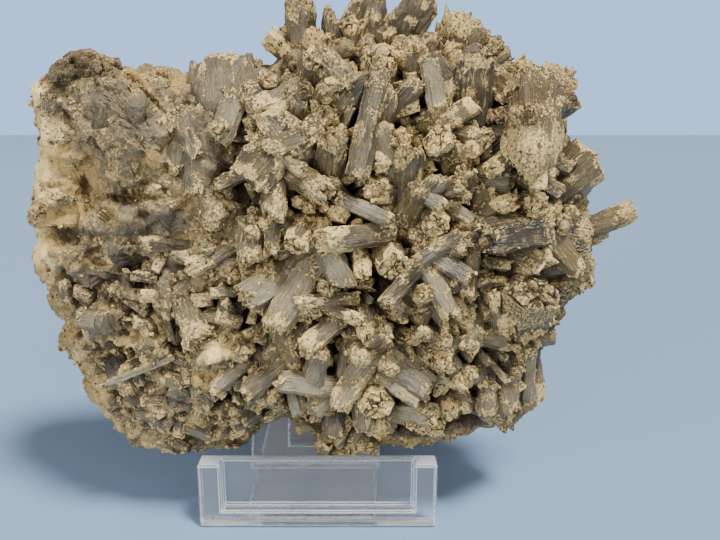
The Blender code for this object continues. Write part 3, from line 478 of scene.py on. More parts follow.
# Swellings and hollows of the matrix's face: x, z, half-width, half-height, height
faceForms = (
    (-43.0, 83.5, 4.5, 3.5, 4.0), (-33.0, 78.0, 2.6, 2.2, 1.6), (-39.5, 70.5, 2.2, 2.0, 1.6),
    (-48.4, 74.5, 2.6, 4.6, 1.0), (-50.0, 66.5, 2.4, 2.0, 2.0), (-49.6, 61.2, 2.4, 1.7, 1.2),
    (-43.0, 63.5, 2.2, 4.2, -3.5), (-52.0, 58.0, 2.2, 2.2, 2.2), (-37.0, 79.5, 3.0, 4.0, 1.8),
    (-36.0, 71.5, 5.0, 5.0, 2.6), (-29.0, 80.5, 4.0, 2.6, 1.8), (-29.5, 70.0, 5.0, 4.0, 2.8),
    (-22.0, 72.5, 4.0, 4.0, 3.4), (-24.5, 64.5, 4.0, 2.4, 2.4), (-37.0, 65.5, 5.0, 1.8, 2.4),
    (-35.5, 61.4, 5.0, 0.9, -2.6), (-38.0, 56.8, 6.0, 2.0, 2.8), (-47.0, 53.6, 4.2, 1.2, -2.4),
    (-48.0, 49.5, 4.0, 2.8, 2.8), (-44.0, 45.0, 5.0, 2.6, 3.2), (-36.0, 51.6, 4.0, 1.4, 2.6),
    (-35.0, 48.6, 4.0, 0.9, -4.5), (-36.5, 46.8, 3.2, 0.9, 2.4), (-33.5, 45.3, 2.0, 0.8, -4.5),
    (-31.0, 43.0, 3.0, 1.6, 2.2), (-43.0, 36.6, 5.0, 2.6, 4.6), (-38.8, 34.7, 1.5, 1.0, -5.0),
    (-47.6, 35.4, 1.0, 1.3, -4.0), (-38.0, 31.6, 2.6, 1.5, 2.6), (-44.5, 31.0, 4.0, 1.2, 2.4),
    (-33.6, 33.0, 2.4, 1.6, 2.4), (-29.0, 35.0, 1.2, 1.4, -4.5), (-40.0, 25.6, 3.4, 1.3, 3.6),
    (-35.0, 27.6, 3.2, 1.3, 3.4), (-30.5, 30.0, 3.2, 1.4, 3.0), (-36.0, 23.0, 4.6, 1.2, -3.6),
    (-42.0, 20.6, 3.0, 2.0, 1.8), (-38.0, 17.6, 3.0, 1.4, 1.8), (-30.0, 23.6, 2.0, 1.6, 2.6),
    (-22.5, 29.0, 4.0, 1.8, 3.0), (-15.4, 30.6, 2.6, 1.6, 4.0), (-24.0, 24.0, 3.0, 1.8, 2.0),
    (-18.5, 21.3, 2.2, 1.1, -5.0), (-21.5, 16.6, 2.6, 2.2, 2.6), (-27.5, 19.0, 1.8, 1.4, -3.0),
    (-29.0, 13.2, 3.4, 1.8, 2.2), (-35.0, 13.6, 3.0, 1.4, 2.0), (-25.0, 50.2, 4.2, 1.4, 3.2),
    (-20.8, 52.8, 3.0, 1.8, 3.4), (-19.5, 57.4, 2.2, 2.2, 3.2), (-12.4, 54.8, 3.2, 2.2, 4.0),
    (-14.6, 59.6, 3.2, 1.8, 3.0), (-20.5, 41.8, 5.0, 1.3, -7.0), (-12.4, 35.2, 2.2, 2.0, -8.0),
    (-14.0, 65.2, 3.2, 2.6, -9.0), (-2.8, 59.6, 2.6, 3.0, -9.0), (-5.2, 55.4, 2.2, 1.4, -7.0),
    (-1.5, 68.0, 1.4, 1.6, -6.0), (-4.5, 37.4, 1.6, 1.3, -6.0), (-5.8, 28.8, 2.6, 1.2, -6.0),
    (13.2, 17.0, 4.6, 3.4, -7.0), (-11.0, 81.2, 2.2, 0.9, -5.0), (2.6, 83.0, 2.8, 0.9, -6.0),
    (12.7, 80.4, 1.2, 1.0, -5.0), (18.0, 76.2, 2.2, 2.0, -6.5), (22.6, 66.8, 1.1, 1.3, -5.0),
    (28.4, 72.3, 1.3, 1.0, -5.0), (37.4, 64.0, 2.6, 1.9, -8.0), (29.8, 60.8, 3.2, 1.6, -8.0),
    (29.0, 57.4, 1.7, 1.9, -7.0), (31.6, 44.0, 1.6, 3.2, -8.0), (33.0, 33.6, 1.9, 3.6, -8.0),
    (22.8, 36.2, 2.4, 1.4, -6.0), (30.0, 18.6, 1.4, 2.6, -5.0),
)

# Stains of the face: x, z, half-width, half-height, and what they are
stains = (
    (-48.6, 74.5, 2.2, 5.0, "cream"), (-50.6, 80.0, 1.8, 2.4, "cream"), (-49.6, 61.2, 2.2, 1.5, "cream"),
    (-51.5, 66.0, 2.6, 2.6, "cream"), (-52.5, 51.0, 2.4, 4.0, "cream"), (-43.0, 84.5, 5.0, 3.4, "umber"),
    (-44.0, 63.5, 3.0, 5.5, "ochre"), (-49.0, 69.0, 4.0, 3.0, "ochre"), (-47.0, 57.5, 4.0, 2.6, "ochre"),
    (-38.0, 78.4, 4.6, 4.4, "slate"), (-32.0, 75.0, 4.6, 4.0, "slate"), (-32.5, 82.5, 2.4, 1.6, "ochre"),
    (-25.5, 82.0, 3.0, 2.0, "ochre"), (-29.0, 68.0, 4.0, 2.4, "ochre"), (-24.0, 65.5, 2.4, 2.0, "ochre"),
    (-47.0, 54.0, 4.4, 1.0, "umber"), (-36.0, 60.8, 5.0, 1.2, "umber"), (-22.0, 71.5, 4.6, 4.2, "slate"),
    (-16.0, 76.0, 3.4, 3.0, "slate"), (-36.0, 55.5, 4.5, 2.0, "slate"), (-43.0, 36.6, 4.6, 2.4, "slate"),
    (-31.0, 45.2, 3.0, 2.0, "slate"), (-38.0, 32.0, 2.6, 1.6, "ochre"), (-44.0, 23.0, 1.8, 4.0, "ochre"),
    (-36.5, 26.8, 6.0, 0.8, "ochre"), (-19.5, 57.0, 2.4, 2.4, "ochre"), (-20.5, 52.5, 3.0, 1.6, "ochre"),
    (-12.0, 54.5, 3.4, 2.2, "cream"), (-17.5, 30.5, 4.4, 2.0, "cream"), (-29.0, 22.0, 4.0, 2.4, "slate"),
    (-38.0, 21.0, 3.4, 2.4, "slate"), (-23.0, 24.0, 3.4, 2.0, "ochre"), (-20.0, 20.0, 4.0, 3.0, "slate"),
    (-16.0, 11.0, 3.0, 2.4, "umber"), (-26.0, 12.0, 5.0, 2.0, "slate"), (-24.0, 35.0, 3.0, 3.0, "slate"),
    (42.0, 22.0, 2.6, 4.0, "ochre"), (8.0, 10.0, 6.0, 2.0, "ochre"), (-53.5, 46.0, 2.0, 3.0, "ochre"),
    (-45.0, 45.0, 5.0, 3.0, "slate"), (-28.0, 57.0, 4.0, 3.0, "slate"), (-33.0, 36.5, 2.4, 2.4, "ochre"),
)

matrixShape = {
    "rings": 108,  # cells from the grid's centre to the rim
    "ledge": (9.0, 6.0, 2.4),  # size of the ledges in x, y and z
    "ledgeHeight": 0.62,
    "blocks": ((5.6, 0.85), (2.7, 0.5), (1.35, 0.28)),  # size and height of the broken blocks
    "rimShare": 0.62,  # how much of the relief is left at the rim
    "setBack": (0.7, 3.0),  # how far the face lies behind the frame's, on the left and on the right
    "pit": 5.0,
    "pitDepth": 1.4,
    "pitLeast": (0.45, 0.85),  # share of the cells without a pit, in front and behind
    "patch": 9.0,  # width of a patch of fibres
    "fibre": 1.3,
    "fibreHeight": 0.12,
    "lump": 2.4,
    "lumpHeight": 0.95,
    "ripple": ((17.0, 0.6), (11.0, 0.4), (8.0, 0.25)),  # length and height of the waves
    "crowdShade": 0.75,  # how much painted shade darkens the ground between the crystals
    "seed": 4,
}

# Parts of the face that differ: from none to full, in x or z
faceParts = {
    "crowd": (-20, -10),
    "upperLeft": ((-12, -20), (44, 54)),
    "lowLeft": ((-8, -16), (42, 32)),
    "low": (42.0, 24.0),
    "farLeft": (-44.0, -53.0),
}


# A bell for each row: height times e to the minus (dx/w)^2 + (dz/h)^2
def bells(x, z, rows):
    total = np.zeros(x.shape)
    for cx, cz, wide, high, height in rows:
        total += height * np.exp(-(((x - cx) / wide) ** 2) - ((z - cz) / high) ** 2)
    return total


# Crossing waves: sines of a few lengths, each running its own way
def ripples(x, z, seed):
    random = np.random.default_rng(seed)
    total = np.zeros(x.shape)
    for length, height in matrixShape["ripple"]:
        for _ in range(3):
            way, phase = random.uniform(0, math.pi), random.uniform(0, 2 * math.pi)
            total += height * np.sin(2 * math.pi * (x * math.cos(way) + z * math.sin(way)) / length + phase)
    return total


# The rim's point at a share of the way round
def rimPoint(share):
    loop = np.vstack([rim, rim[:1]])
    along = np.concatenate([[0], np.cumsum(np.hypot(*np.diff(loop, axis=0).T))])
    place = np.mod(share, 1) * along[-1]
    return np.interp(place, along, loop[:, 0]), np.interp(place, along, loop[:, 1])


# A square grid drawn out to the rim: ring k of the square lies at sin(90 k/n degrees) of the way out
def discGrid(rings):
    steps = np.arange(-rings, rings + 1)
    across, up = np.meshgrid(steps, steps, indexing="ij")
    ring = np.maximum(abs(across), abs(up))
    safe = np.maximum(ring, 1)
    level = np.where(up > 0, across, 4 * safe - across)
    side = np.where(across > 0, 2 * safe - up, 6 * safe + up)
    turn = np.where(abs(up) >= abs(across), level, side) / (8 * safe) + form["rimStart"]
    rimX, rimZ = rimPoint(turn)
    share = np.sin(ring / rings * math.pi / 2)
    cx, cz = form["gridCentre"]
    return cx + (rimX - cx) * share, cz + (rimZ - cz) * share, ring == rings


# Surface normals of a grid: the cross product of its two steps, turned to the side asked for
def gridNormals(p, towards):
    n = unit(np.cross(np.gradient(p, axis=0), np.gradient(p, axis=1)))
    return n * np.where((n[..., 1] * towards).mean() < 0, -1, 1)


# Fibre patches: every patch has its own direction; the place across and along its fibres
def fibrePlace(p, seed):
    _, _, own, _ = cellNoise(p, matrixShape["patch"], seed)
    angle = own * math.pi
    along = p[..., 0] * np.cos(angle) + p[..., 2] * np.sin(angle)
    across = p[..., 2] * np.cos(angle) - p[..., 0] * np.sin(angle)
    return np.stack([across + 90 * own, along, 0.4 * p[..., 1]], -1)


# Corroded relief: ledges lie flat and wide, blocks are tilted cells of a few sizes, fibres run across them,
# and pits are holes at cell centres. The hollow, a share of painted shade, grows with the depth below the
# mean
def corrosion(p, seed, pitLeast):
    s = matrixShape
    bend = np.stack([layeredNoise(p, 6.0, seed + k, 2) for k in (50, 60, 70)], -1)
    ledge = np.tanh(2.2 * layeredNoise(p + 0.6 * bend, s["ledge"], seed, 3)) * s["ledgeHeight"]
    height = ledge.copy()
    cracks = np.zeros(height.shape)
    for number, (size, tall) in enumerate(s["blocks"]):
        block, crack = blockNoise(p + 0.20 * size * bend, size, seed + 10 * number + 1, 1.7, 0.15)
        height += tall * block
        cracks = np.maximum(cracks, crack * (0.3 + 0.25 * number))
    fibres = layeredNoise(fibrePlace(p, seed) / (s["fibre"], 6.0, 6.0), 1.0, seed + 80, 2)
    lumps = layeredNoise(p + 0.3 * bend, s["lump"], seed + 90, 3)
    height += s["fibreHeight"] * fibres + s["lumpHeight"] * lumps
    pitFirst, _, pitOwn, _ = cellNoise(p + bend, s["pit"], seed + 3)
    pit = smoothStep(0.42, 0.12, pitFirst) * (pitOwn > pitLeast)
    height -= s["pitDepth"] * pit
    # painted shade: deeper below the mean, in the cracks, and in the pits
    hollow = np.maximum(0.6 * smoothStep(-0.2, -1.9, height), 0.4 * cracks * smoothStep(0.6, -0.8, height))
    return height, np.maximum(hollow, 0.9 * pit)


# Share of each stain at a place: ochre, cream, slate, umber
def stainShares(x, z, p):
    shares = np.zeros((*x.shape, 4))
    ragged = 0.55 * layeredNoise(p, 2.6, 31, 3)
    for cx, cz, wide, high, kind in stains:
        away = np.hypot((x - cx) / wide, (z - cz) / high)
        k = stainKinds.index(kind)
        shares[..., k] = np.maximum(shares[..., k], smoothStep(1.35, 0.55, away + ragged))
    farLeft = smoothStep(*faceParts["farLeft"], x + 3 * ragged)
    shares[..., 0] = np.maximum(shares[..., 0], 0.65 * farLeft)
    across, up = faceParts["lowLeft"]
    lowLeft = smoothStep(*up, z + 5 * ragged) * smoothStep(*across, x)
    shares[..., 1] = np.maximum(shares[..., 1], lowLeft * (0.12 + 0.9 * ragged))
    return shares


# The two triangles of each grid cell, split outwards so that none lies with all its corners on the rim
def discTriangles(number, rings):
    low, right = number[:-1, :-1], number[1:, :-1]
    high, left = number[1:, 1:], number[:-1, 1:]
    i, j = np.indices(low.shape)
    rising = ((i < rings) == (j < rings))[..., None, None]
    up = np.stack([np.stack([low, right, high], -1), np.stack([low, high, left], -1)], -2)
    down = np.stack([np.stack([low, right, left], -1), np.stack([right, high, left], -1)], -2)
    return np.where(rising, up, down).reshape(-1, 3)


# Matrix: dome, bells and ripples along y, then corrosion along the normals, front and back on one rim
def makeMatrix():
    s = matrixShape
    x, z, onRim = discGrid(s["rings"])
    share = np.where(onRim, 1.0, np.minimum(reach(x, z), form["innerReach"]))
    fade = 1 - share**8
    relief = bells(x, z, faceForms) + ripples(x, z, s["seed"])
    crowd = smoothStep(*faceParts["crowd"], x)
    setBack = s["setBack"][0] + (s["setBack"][1] - s["setBack"][0]) * crowd
    front = form["middleY"] - form["frontDepth"] * dome(share) - (relief - setBack) * fade
    back = form["middleY"] + backDepth(z) * dome(share) + ripples(x, z, s["seed"] + 1) * fade
    front = drawIn(np.stack([x, front, z], -1))
    back = np.stack([x, back, z], -1)
    frontWay, backWay = gridNormals(front, -1), gridNormals(back, 1)
    outward = unit(np.stack([x - form["centre"][0], 0 * x, z - form["centre"][1]], -1))
    frontWay = np.where(onRim[..., None], outward, frontWay)
    backWay = np.where(onRim[..., None], outward, backWay)
    frontRough, frontHole = corrosion(front, s["seed"], s["pitLeast"][0])
    backRough, backHole = corrosion(back, s["seed"], s["pitLeast"][1])
    rimFade = 1 - (1 - s["rimShare"]) * smoothStep(0.95, 1.0, share)
    stain = stainShares(x, z, front)
    across, up = faceParts["upperLeft"]
    upperLeft = smoothStep(*across, x) * smoothStep(*up, z)
    # The relief is calmer on the cream stains of the far left and a little in the upper left
    calm = 1 - 0.3 * stain[..., 1] * (x < -30)
    calm = calm * (1 - 0.15 * upperLeft)
    front = front + frontWay * (frontRough * rimFade * calm)[..., None]
    back = back + backWay * (backRough * rimFade)[..., None]
    side = len(x)
    number = np.arange(side * side).reshape(side, side)
    rearNumber = number.copy()
    inner = ~onRim
    rearNumber[inner] = side * side + np.arange(inner.sum())
    points = np.concatenate([front.reshape(-1, 3), back[inner]])
    rear = discTriangles(rearNumber, s["rings"])[:, ::-1]
    faces = np.concatenate([discTriangles(number, s["rings"]), rear])
    # Painted shade: in the face's hollows, on the ground between the crystals and in the relief's pits and
    # cracks, less of it in the upper left and low on the left
    deep = smoothStep(-0.8, -4.5, bells(x, z, faceForms))
    between = s["crowdShade"] * crowd * smoothStep(1.0, 0.9, share)
    frontHole = frontHole * (1 - 0.35 * upperLeft - 0.25 * smoothStep(*faceParts["low"], z) * (x < -10))
    hollow = np.concatenate([np.maximum.reduce([deep, frontHole, between]).ravel(), 0.8 * backHole[inner]])
    backStain = stainShares(x, z, back)[inner] * 0.6
    values = {"hollow": hollow, "stain": np.concatenate([stain.reshape(-1, 4), backStain])}
    uvs = fibrePlace(points, s["seed"])[faces.ravel(), :2]
    piece = makePiece("matrix", points, [faces], matrixFinish, values, uvs, 42)
    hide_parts("aragonite_cluster")
    return front


matrixFront = makeMatrix()
print("matrix done")

# Kinds of crystal. A row: tone from dark to pale, warmth from grey to brown, share of the length under crust,
# depth of the grooves, raggedness of the end, brightness of the crust, width of the root against the end's,
# rise of the end's middle as a share of the width, and depth of the end's cracks
kinds = {
    "grey": (0.42, 0.15, 0.06, 0.8, 0.9, 0.3, 0.98, 0.03, 0),
    "tan": (0.66, 0.80, 0.10, 0.6, 0.5, 0.9, 1.0, 0.02, 0),
    "slab": (-0.10, 0.12, 0.04, 1.6, 0.8, 0.2, 1.08, 0.04, 0),
    "pale": (0.84, 0.15, 0.08, 0.6, 0.7, 0.6, 0.97, 0.03, 0),
    "smooth": (0.56, 0.25, 0.02, 0.4, 0.5, 0.1, 0.98, 0.02, 0),
    "dark": (0.14, 0.2, 0.08, 0.8, 0.8, 0.4, 0.98, 0.03, 0),
    "fibre": (0.42, 0.4, 0.1, 1.7, 1.4, 0.4, 0.97, 0.03, 0),
    "blade": (0.56, 0.10, 0.03, 1.4, 1.0, 0.6, 1.22, 0.0, 0),
    "fan": (0.52, 0.60, 0.25, 1.5, 0.9, 0.5, 0.58, 0.02, 0),
    "brown": (0.3, 0.85, 0.14, 1.1, 1.1, 0.3, 0.94, 0.03, 0),
    "ochre": (0.42, 0.95, 0.3, 0.8, 1.0, 0.5, 0.94, 0.05, 0),
    "crust": (0.4, 0.45, 0.36, 0.9, 1.1, 0.8, 0.92, 0.06, 0),
    "porous": (0.36, 0.8, 0.42, 2.6, 1.0, 0.45, 0.94, 0.36, 0),
    "hexCap": (0.26, 0.60, 0.5, 1.2, 0.2, 0.1, 0.94, 0.05, 1),
    "knob": (0.0, 0.8, 0.04, 0.6, 0.4, 0.0, 0.98, 0.14, 0),
    "chalk": (0.7, 0.4, 0.75, 0.4, 0.3, 1.0, 0.94, 0.1, 0),
    "cream": (0.42, 0.4, 0.2, 0.8, 0.4, 1.0, 0.93, 0.03, 0.35),
}

# Crystals listed one by one. A row: x and z of the end's centre, how far it stands in front of the face, the
# way it points in the x-z plane, how much it turns to the front, width, thickness, length and kind
crystalRows = {
    "crystalsTop": (
        (-16.6, 86.8, 5.5, 91, -15, 11.6, 5.0, 15.5, "blade"),
        (-12.4, 85.4, 4, 80, 10, 4.2, 3.6, 9, "crust"), (-11.7, 86.2, 2, 96, 10, 4.4, 4.0, 10, "brown"),
        (-8.3, 82.8, 5, 10, 45, 3.6, 3.2, 8, "pale"), (-8.7, 90.5, 2, 140, 15, 4.2, 3.6, 12, "cream"),
        (-5.4, 92.4, 0, 112, 5, 3.2, 3.0, 10, "brown"), (-2.5, 96.9, 2, 92, 8, 5.2, 4.6, 15, "fibre"),
        (2.6, 94.8, -1, 82, 0, 2.4, 2.2, 10, "fibre"), (3.7, 93.2, 2, 84, 8, 3.2, 3.0, 9, "grey"),
        (8.2, 95.6, 1, 62, 8, 3.4, 3.0, 11, "brown"), (10.6, 97.8, 2, 88, 6, 4.2, 3.6, 13, "grey"),
        (14.0, 94.2, 2, 104, 6, 3.6, 3.2, 10, "grey"), (19.6, 97.2, 2, 58, 8, 6.2, 5.0, 14, "fibre"),
        (26.0, 94.2, 2, 87, 5, 6.0, 5.0, 12, "crust"), (21.2, 90.0, 5, 60, 20, 4.6, 4.0, 11, "fibre"),
        (33.2, 88.7, 2, 8, 12, 3.8, 3.4, 13, "smooth"), (34.7, 87.4, 1, 32, 10, 3.0, 3.0, 8, "pale"),
        (28.2, 86.8, 7.5, 88, 12, 8.6, 6.5, 15, "dark"), (43.6, 85.0, 1, 66, 8, 6.2, 5.4, 12, "crust"),
        (46.8, 81.2, 1, -8, 0, 3.2, 2.8, 8, "brown"), (36.5, 79.5, 6, -40, 50, 5.2, 4.8, 9, "brown"),
        (0.2, 86.8, 6, 80, 30, 6.2, 5.0, 10, "cream"), (11.5, 86.6, 6, 80, 35, 5.8, 5.0, 9, "cream"),
        (-0.6, 91.2, 4, 104, 24, 4.0, 3.6, 9, "crust"), (3.6, 89.6, 4.5, 70, 30, 4.2, 3.6, 9, "grey"),
        (6.6, 92.4, 3, 108, 18, 4.4, 3.8, 10, "tan"), (9.4, 91.0, 4.5, 66, 30, 4.0, 3.4, 9, "fibre"),
        (13.0, 91.6, 4, 84, 26, 4.0, 3.6, 10, "tan"), (16.6, 93.4, 3, 70, 16, 4.4, 3.8, 10, "dark"),
        (17.0, 89.0, 5, 118, 34, 4.4, 3.8, 9, "crust"), (23.4, 92.6, 3.5, 98, 20, 4.6, 3.8, 10, "brown"),
        (25.4, 88.8, 5, 60, 30, 4.0, 3.4, 9, "pale"), (29.8, 91.6, 3, 60, 16, 4.4, 3.8, 10, "tan"),
        (30.4, 87.2, 4.5, 20, 24, 4.2, 3.6, 10, "smooth"), (36.2, 84.8, 3.5, 40, 22, 4.2, 3.6, 10, "brown"),
        (20.6, 86.0, 5.5, 142, 30, 4.0, 3.6, 9, "smooth"), (38.6, 85.8, 1.5, 50, 12, 3.6, 3.2, 9, "crust"),
    ),
    "crystalsUpper": (
        (6.9, 81.7, 6, -42, 25, 3.2, 3.0, 9, "grey"), (2.6, 81.3, 5, 60, 50, 4.2, 3.8, 7, "ochre"),
        (8.4, 84.2, 6, 66, 20, 3.4, 3.0, 11, "fibre"), (10.5, 82.5, 6, 84, 30, 2.8, 2.6, 8, "pale"),
        (7.2, 64.8, 6, -103, 12, 4.2, 3.6, 18, "grey"), (3.0, 73.4, 6, 88, 30, 5.2, 4.6, 14, "fibre"),
        (-2.4, 72.2, 5, 200, 60, 4.6, 4.2, 8, "pale"), (-5.2, 69.0, 5, 190, 55, 5.2, 4.2, 8, "pale"),
        (-6.6, 72.0, 4, -52, 25, 5.0, 4.4, 11, "dark"), (-3.4, 79.6, 4, 72, 25, 4.6, 4.2, 10, "smooth"),
        (17.2, 70.6, 6.5, 91, 30, 5.2, 4.6, 14, "fibre"), (22.2, 72.2, 6, 120, 62, 5.6, 5.0, 10, "cream"),
        (13.0, 73.0, 5, 100, 60, 4.2, 3.8, 8, "ochre"), (10.8, 67.0, 5, 215, 45, 4.0, 3.4, 8, "crust"),
        (18.6, 82.4, 6, 50, 25, 4.0, 3.4, 10, "grey"), (22.4, 76.6, 6, -80, 20, 3.6, 3.0, 9, "pale"),
        (28.0, 69.8, 5, -150, 50, 3.4, 3.0, 7, "crust"),
    ),
    "crystalsRight": (
        (39.4, 66.2, 8, -97, 24, 10.0, 8.8, 15, "porous"), (41.2, 62.6, 8, -92, 14, 3.6, 3.2, 8, "chalk"),
        (51.0, 68.8, 5, 47, 12, 9.0, 7.4, 18, "tan"), (59.5, 58.9, 2, 24, 4, 4.2, 3.6, 13, "ochre"),
        (31.2, 53.4, 7, 182, 35, 7.2, 6.6, 14, "slab"), (51.6, 52.4, 5, -4, 10, 9.2, 6.6, 18, "slab"),
        (51.6, 43.2, 1, -68, 8, 4.4, 4.0, 11, "crust"), (41.0, 43.0, 6.5, 92, 40, 11.6, 10.4, 9, "hexCap"),
        (37.6, 34.8, 6.5, -80, 30, 4.8, 4.2, 8, "crust"), (43.4, 36.2, 7.5, -60, 36, 5.6, 4.8, 8, "crust"),
        (41.0, 33.6, 7.5, -95, 40, 5.2, 4.6, 8, "ochre"), (46.2, 39.0, 5.5, -30, 34, 4.6, 4.0, 7, "crust"),
        (46.2, 34.6, 4.5, 10, 8, 4.6, 4.0, 15, "smooth"), (54.2, 53.8, 0, -18, 6, 5.6, 5.0, 10, "porous"),
        (33.2, 17.0, 5, -91, 12, 4.0, 3.6, 12, "fibre"), (42.2, 80.2, 10, 70, 26, 7.4, 6.6, 10, "knob"),
        (46.4, 79.6, 7, 30, 20, 5.0, 4.4, 8, "knob"), (37.6, 77.8, 9.5, 112, 40, 5.6, 5.0, 8, "brown"),
        (43.4, 37.4, 6, -82, 30, 4.6, 4.0, 8, "brown"), (46.6, 40.4, 5, -30, 30, 4.0, 3.4, 7, "grey"),
        (41.0, 33.6, 6, -104, 36, 4.4, 3.8, 8, "crust"), (37.6, 17.2, 5, -88, 12, 5.2, 4.4, 13, "fibre"),
        (42.8, 20.6, 2, -80, 10, 4.8, 4.2, 10, "ochre"), (37.3, 13.6, 1, -86, 6, 3.4, 3.0, 8, "brown"),
        (31.8, 66.6, 6, 190, 50, 3.8, 3.4, 8, "crust"), (27.0, 66.6, 5, 120, 45, 3.2, 2.8, 7, "brown"),
        (36.7, 60.4, 6, 30, 40, 3.4, 3.0, 8, "crust"), (28.2, 63.6, 5, 12, 25, 3.4, 2.8, 9, "brown"),
        (44.5, 57.5, 5, 12, 40, 4.4, 3.8, 8, "ochre"),
    ),
    "crystalsMiddle": (
        (2.8, 61.6, 6, -25, 28, 5.2, 4.6, 14, "brown"), (-2.0, 65.6, 6, -32, 20, 2.4, 2.0, 7, "ochre"),
        (-8.0, 57.0, 5, -86, 22, 4.6, 4.0, 11, "brown"), (-4.5, 51.9, 7, 238, 58, 4.8, 4.4, 12, "cream"),
        (0.3, 52.6, 7, 184, 20, 5.0, 4.4, 13, "crust"), (-8.8, 50.0, 5, -90, 20, 3.0, 2.6, 8, "fibre"),
        (5.2, 44.0, 6, -62, 20, 5.2, 4.4, 11, "smooth"), (8.5, 45.6, 6, -80, 45, 3.6, 3.2, 8, "crust"),
        (14.2, 47.8, 6, -60, 68, 6.2, 5.8, 9, "cream"), (-8.6, 35.6, 6, 236, 20, 6.2, 5.2, 16, "pale"),
        (-14.4, 41.2, 6, 204, 38, 5.6, 4.8, 11, "pale"), (-4.5, 40.6, 6, 180, 16, 3.0, 2.6, 11, "crust"),
        (1.8, 44.8, 6, 95, 45, 4.2, 3.8, 8, "grey"), (22.5, 55.6, 6, -60, 68, 5.0, 4.6, 9, "cream"),
        (24.0, 59.3, 6, -28, 20, 2.8, 2.4, 8, "pale"), (19.4, 64.0, 6, 76, 30, 4.2, 3.6, 9, "brown"),
        (10.6, 63.0, 5, 150, 55, 5.4, 4.8, 8, "crust"), (14.0, 56.6, 6, -22, 15, 3.0, 2.6, 10, "pale"),
        (29.2, 45.4, 7, -30, 18, 3.2, 2.8, 11, "grey"), (28.6, 51.2, 6, -12, 15, 3.2, 2.8, 10, "grey"),
        (25.7, 38.0, 8, -63, 22, 3.6, 3.0, 12, "pale"), (28.6, 41.6, 6, -100, 18, 3.2, 2.8, 9, "brown"),
        (27.2, 42.6, 5, -58, 15, 3.2, 2.6, 9, "dark"), (12.8, 40.4, 7, 226, 18, 3.2, 2.8, 11, "grey"),
        (20.6, 43.0, 7, 90, 60, 4.2, 3.6, 8, "ochre"), (27.2, 38.4, 6, -80, 55, 3.0, 2.8, 7, "crust"),
        (33.8, 42.8, 5, 100, 20, 2.4, 2.2, 9, "crust"), (18.6, 48.6, 7, 210, 15, 2.8, 2.4, 9, "grey"),
    ),
    "crystalsLower": (
        (3.2, 18.6, 8, 234, 22, 4.8, 4.0, 14, "pale"), (-1.8, 17.6, 7, 228, 20, 4.0, 3.4, 10, "smooth"),
        (-8.4, 24.9, 7, 160, 24, 4.8, 4.2, 12, "pale"), (-15.3, 21.0, 6, 218, 18, 4.2, 3.6, 11, "dark"),
        (-4.9, 13.9, 5, 188, 12, 2.2, 2.0, 9, "pale"), (3.2, 11.4, 5, -88, 12, 5.0, 4.4, 10, "fibre"),
        (0.3, 31.2, 6, 76, 18, 4.4, 3.6, 10, "smooth"), (-3.5, 30.8, 7, 214, 24, 4.2, 3.6, 9, "crust"),
        (9.0, 36.8, 6, -16, 20, 2.6, 2.2, 9, "crust"), (11.6, 19.0, 7, -30, 74, 7.0, 6.4, 12, "cream"),
        (22.6, 17.4, 6, 10, 30, 5.2, 4.6, 9, "smooth"), (17.8, 15.3, 6, 200, 60, 3.8, 3.6, 8, "cream"),
        (20.4, 13.5, 6, 250, 50, 3.6, 3.2, 8, "cream"), (23.4, 13.3, 6, -60, 55, 3.8, 3.4, 8, "cream"),
        (22.4, 22.6, 6, -28, 20, 5.6, 4.6, 12, "smooth"), (19.8, 19.7, 7, -28, 18, 2.8, 2.4, 9, "pale"),
        (29.6, 22.8, 5, -40, 40, 3.8, 3.2, 8, "crust"), (10.2, 33.2, 6, -70, 50, 4.4, 4.0, 8, "crust"),
        (7.6, 9.2, 5, -84, 14, 6.4, 5.0, 9, "ochre"), (12.4, 12.2, 4, -80, 24, 4.6, 3.8, 9, "crust"),
        (15.4, 10.6, 2, -96, 12, 3.6, 3.2, 8, "brown"), (18.6, 10.8, 3, -74, 16, 4.2, 3.6, 9, "crust"),
        (22.0, 10.2, 2, -88, 12, 3.8, 3.4, 9, "fibre"), (25.4, 12.0, 3, -70, 20, 4.4, 3.8, 9, "grey"),
        (28.4, 12.8, 2, -84, 14, 3.6, 3.2, 8, "crust"), (31.4, 14.6, 3, -62, 22, 4.0, 3.4, 9, "brown"),
        (34.6, 15.4, 2, -76, 12, 3.8, 3.2, 8, "pale"), (26.8, 16.6, 5, -52, 38, 4.0, 3.4, 8, "crust"),
    ),
    "crystalsLeft": (
        (-23.4, 32.4, 4.4, -66, 20, 6.4, 3.8, 10, "fan"), (-12.8, 48.4, 4, -90, 18, 5.2, 4.2, 8, "fibre"),
        (-25.6, 47.0, 4, 205, 20, 4.2, 3.2, 10, "crust"), (-16.2, 12.0, 3, -92, 8, 4.4, 4.0, 8, "dark"),
        (-28.6, 29.6, 2.0, 23, 3, 1.5, 1.4, 15, "pale"), (-38.4, 36.4, 2.4, -4, 10, 4.4, 3.6, 8, "smooth"),
        (-12.6, 64.0, 5, 232, 14, 8.8, 3.6, 13, "dark"), (-26.4, 66.2, 0.9, -104, 14, 5.0, 3.2, 8, "grey"),
        (-21.8, 68.6, 1.6, -66, 16, 4.6, 3.4, 8, "fibre"), (-22.4, 61.4, 1.4, -88, 12, 4.4, 3.2, 8, "grey"),
        (-29.6, 72.4, 0.8, 210, 14, 4.4, 3.0, 7, "dark"), (-17.8, 71.6, 2.4, -110, 20, 4.4, 3.4, 9, "pale"),
        (-18.6, 63.4, 2.2, 205, 10, 2.8, 2.4, 7, "grey"), (-9.2, 69.6, 5.4, 204, 14, 4.8, 3.8, 10, "brown"),
        (-49.4, 61.3, 3.4, 4, 80, 5.4, 3.4, 5, "chalk"), (-47.8, 71.6, 2.2, -92, 6, 5.8, 3.0, 8, "chalk"),
        (-10.6, 76.4, 5, 205, 24, 5.4, 4.4, 10, "crust"), (-36.6, 78.4, 0.6, 70, 2, 5.0, 3.0, 8, "smooth"),
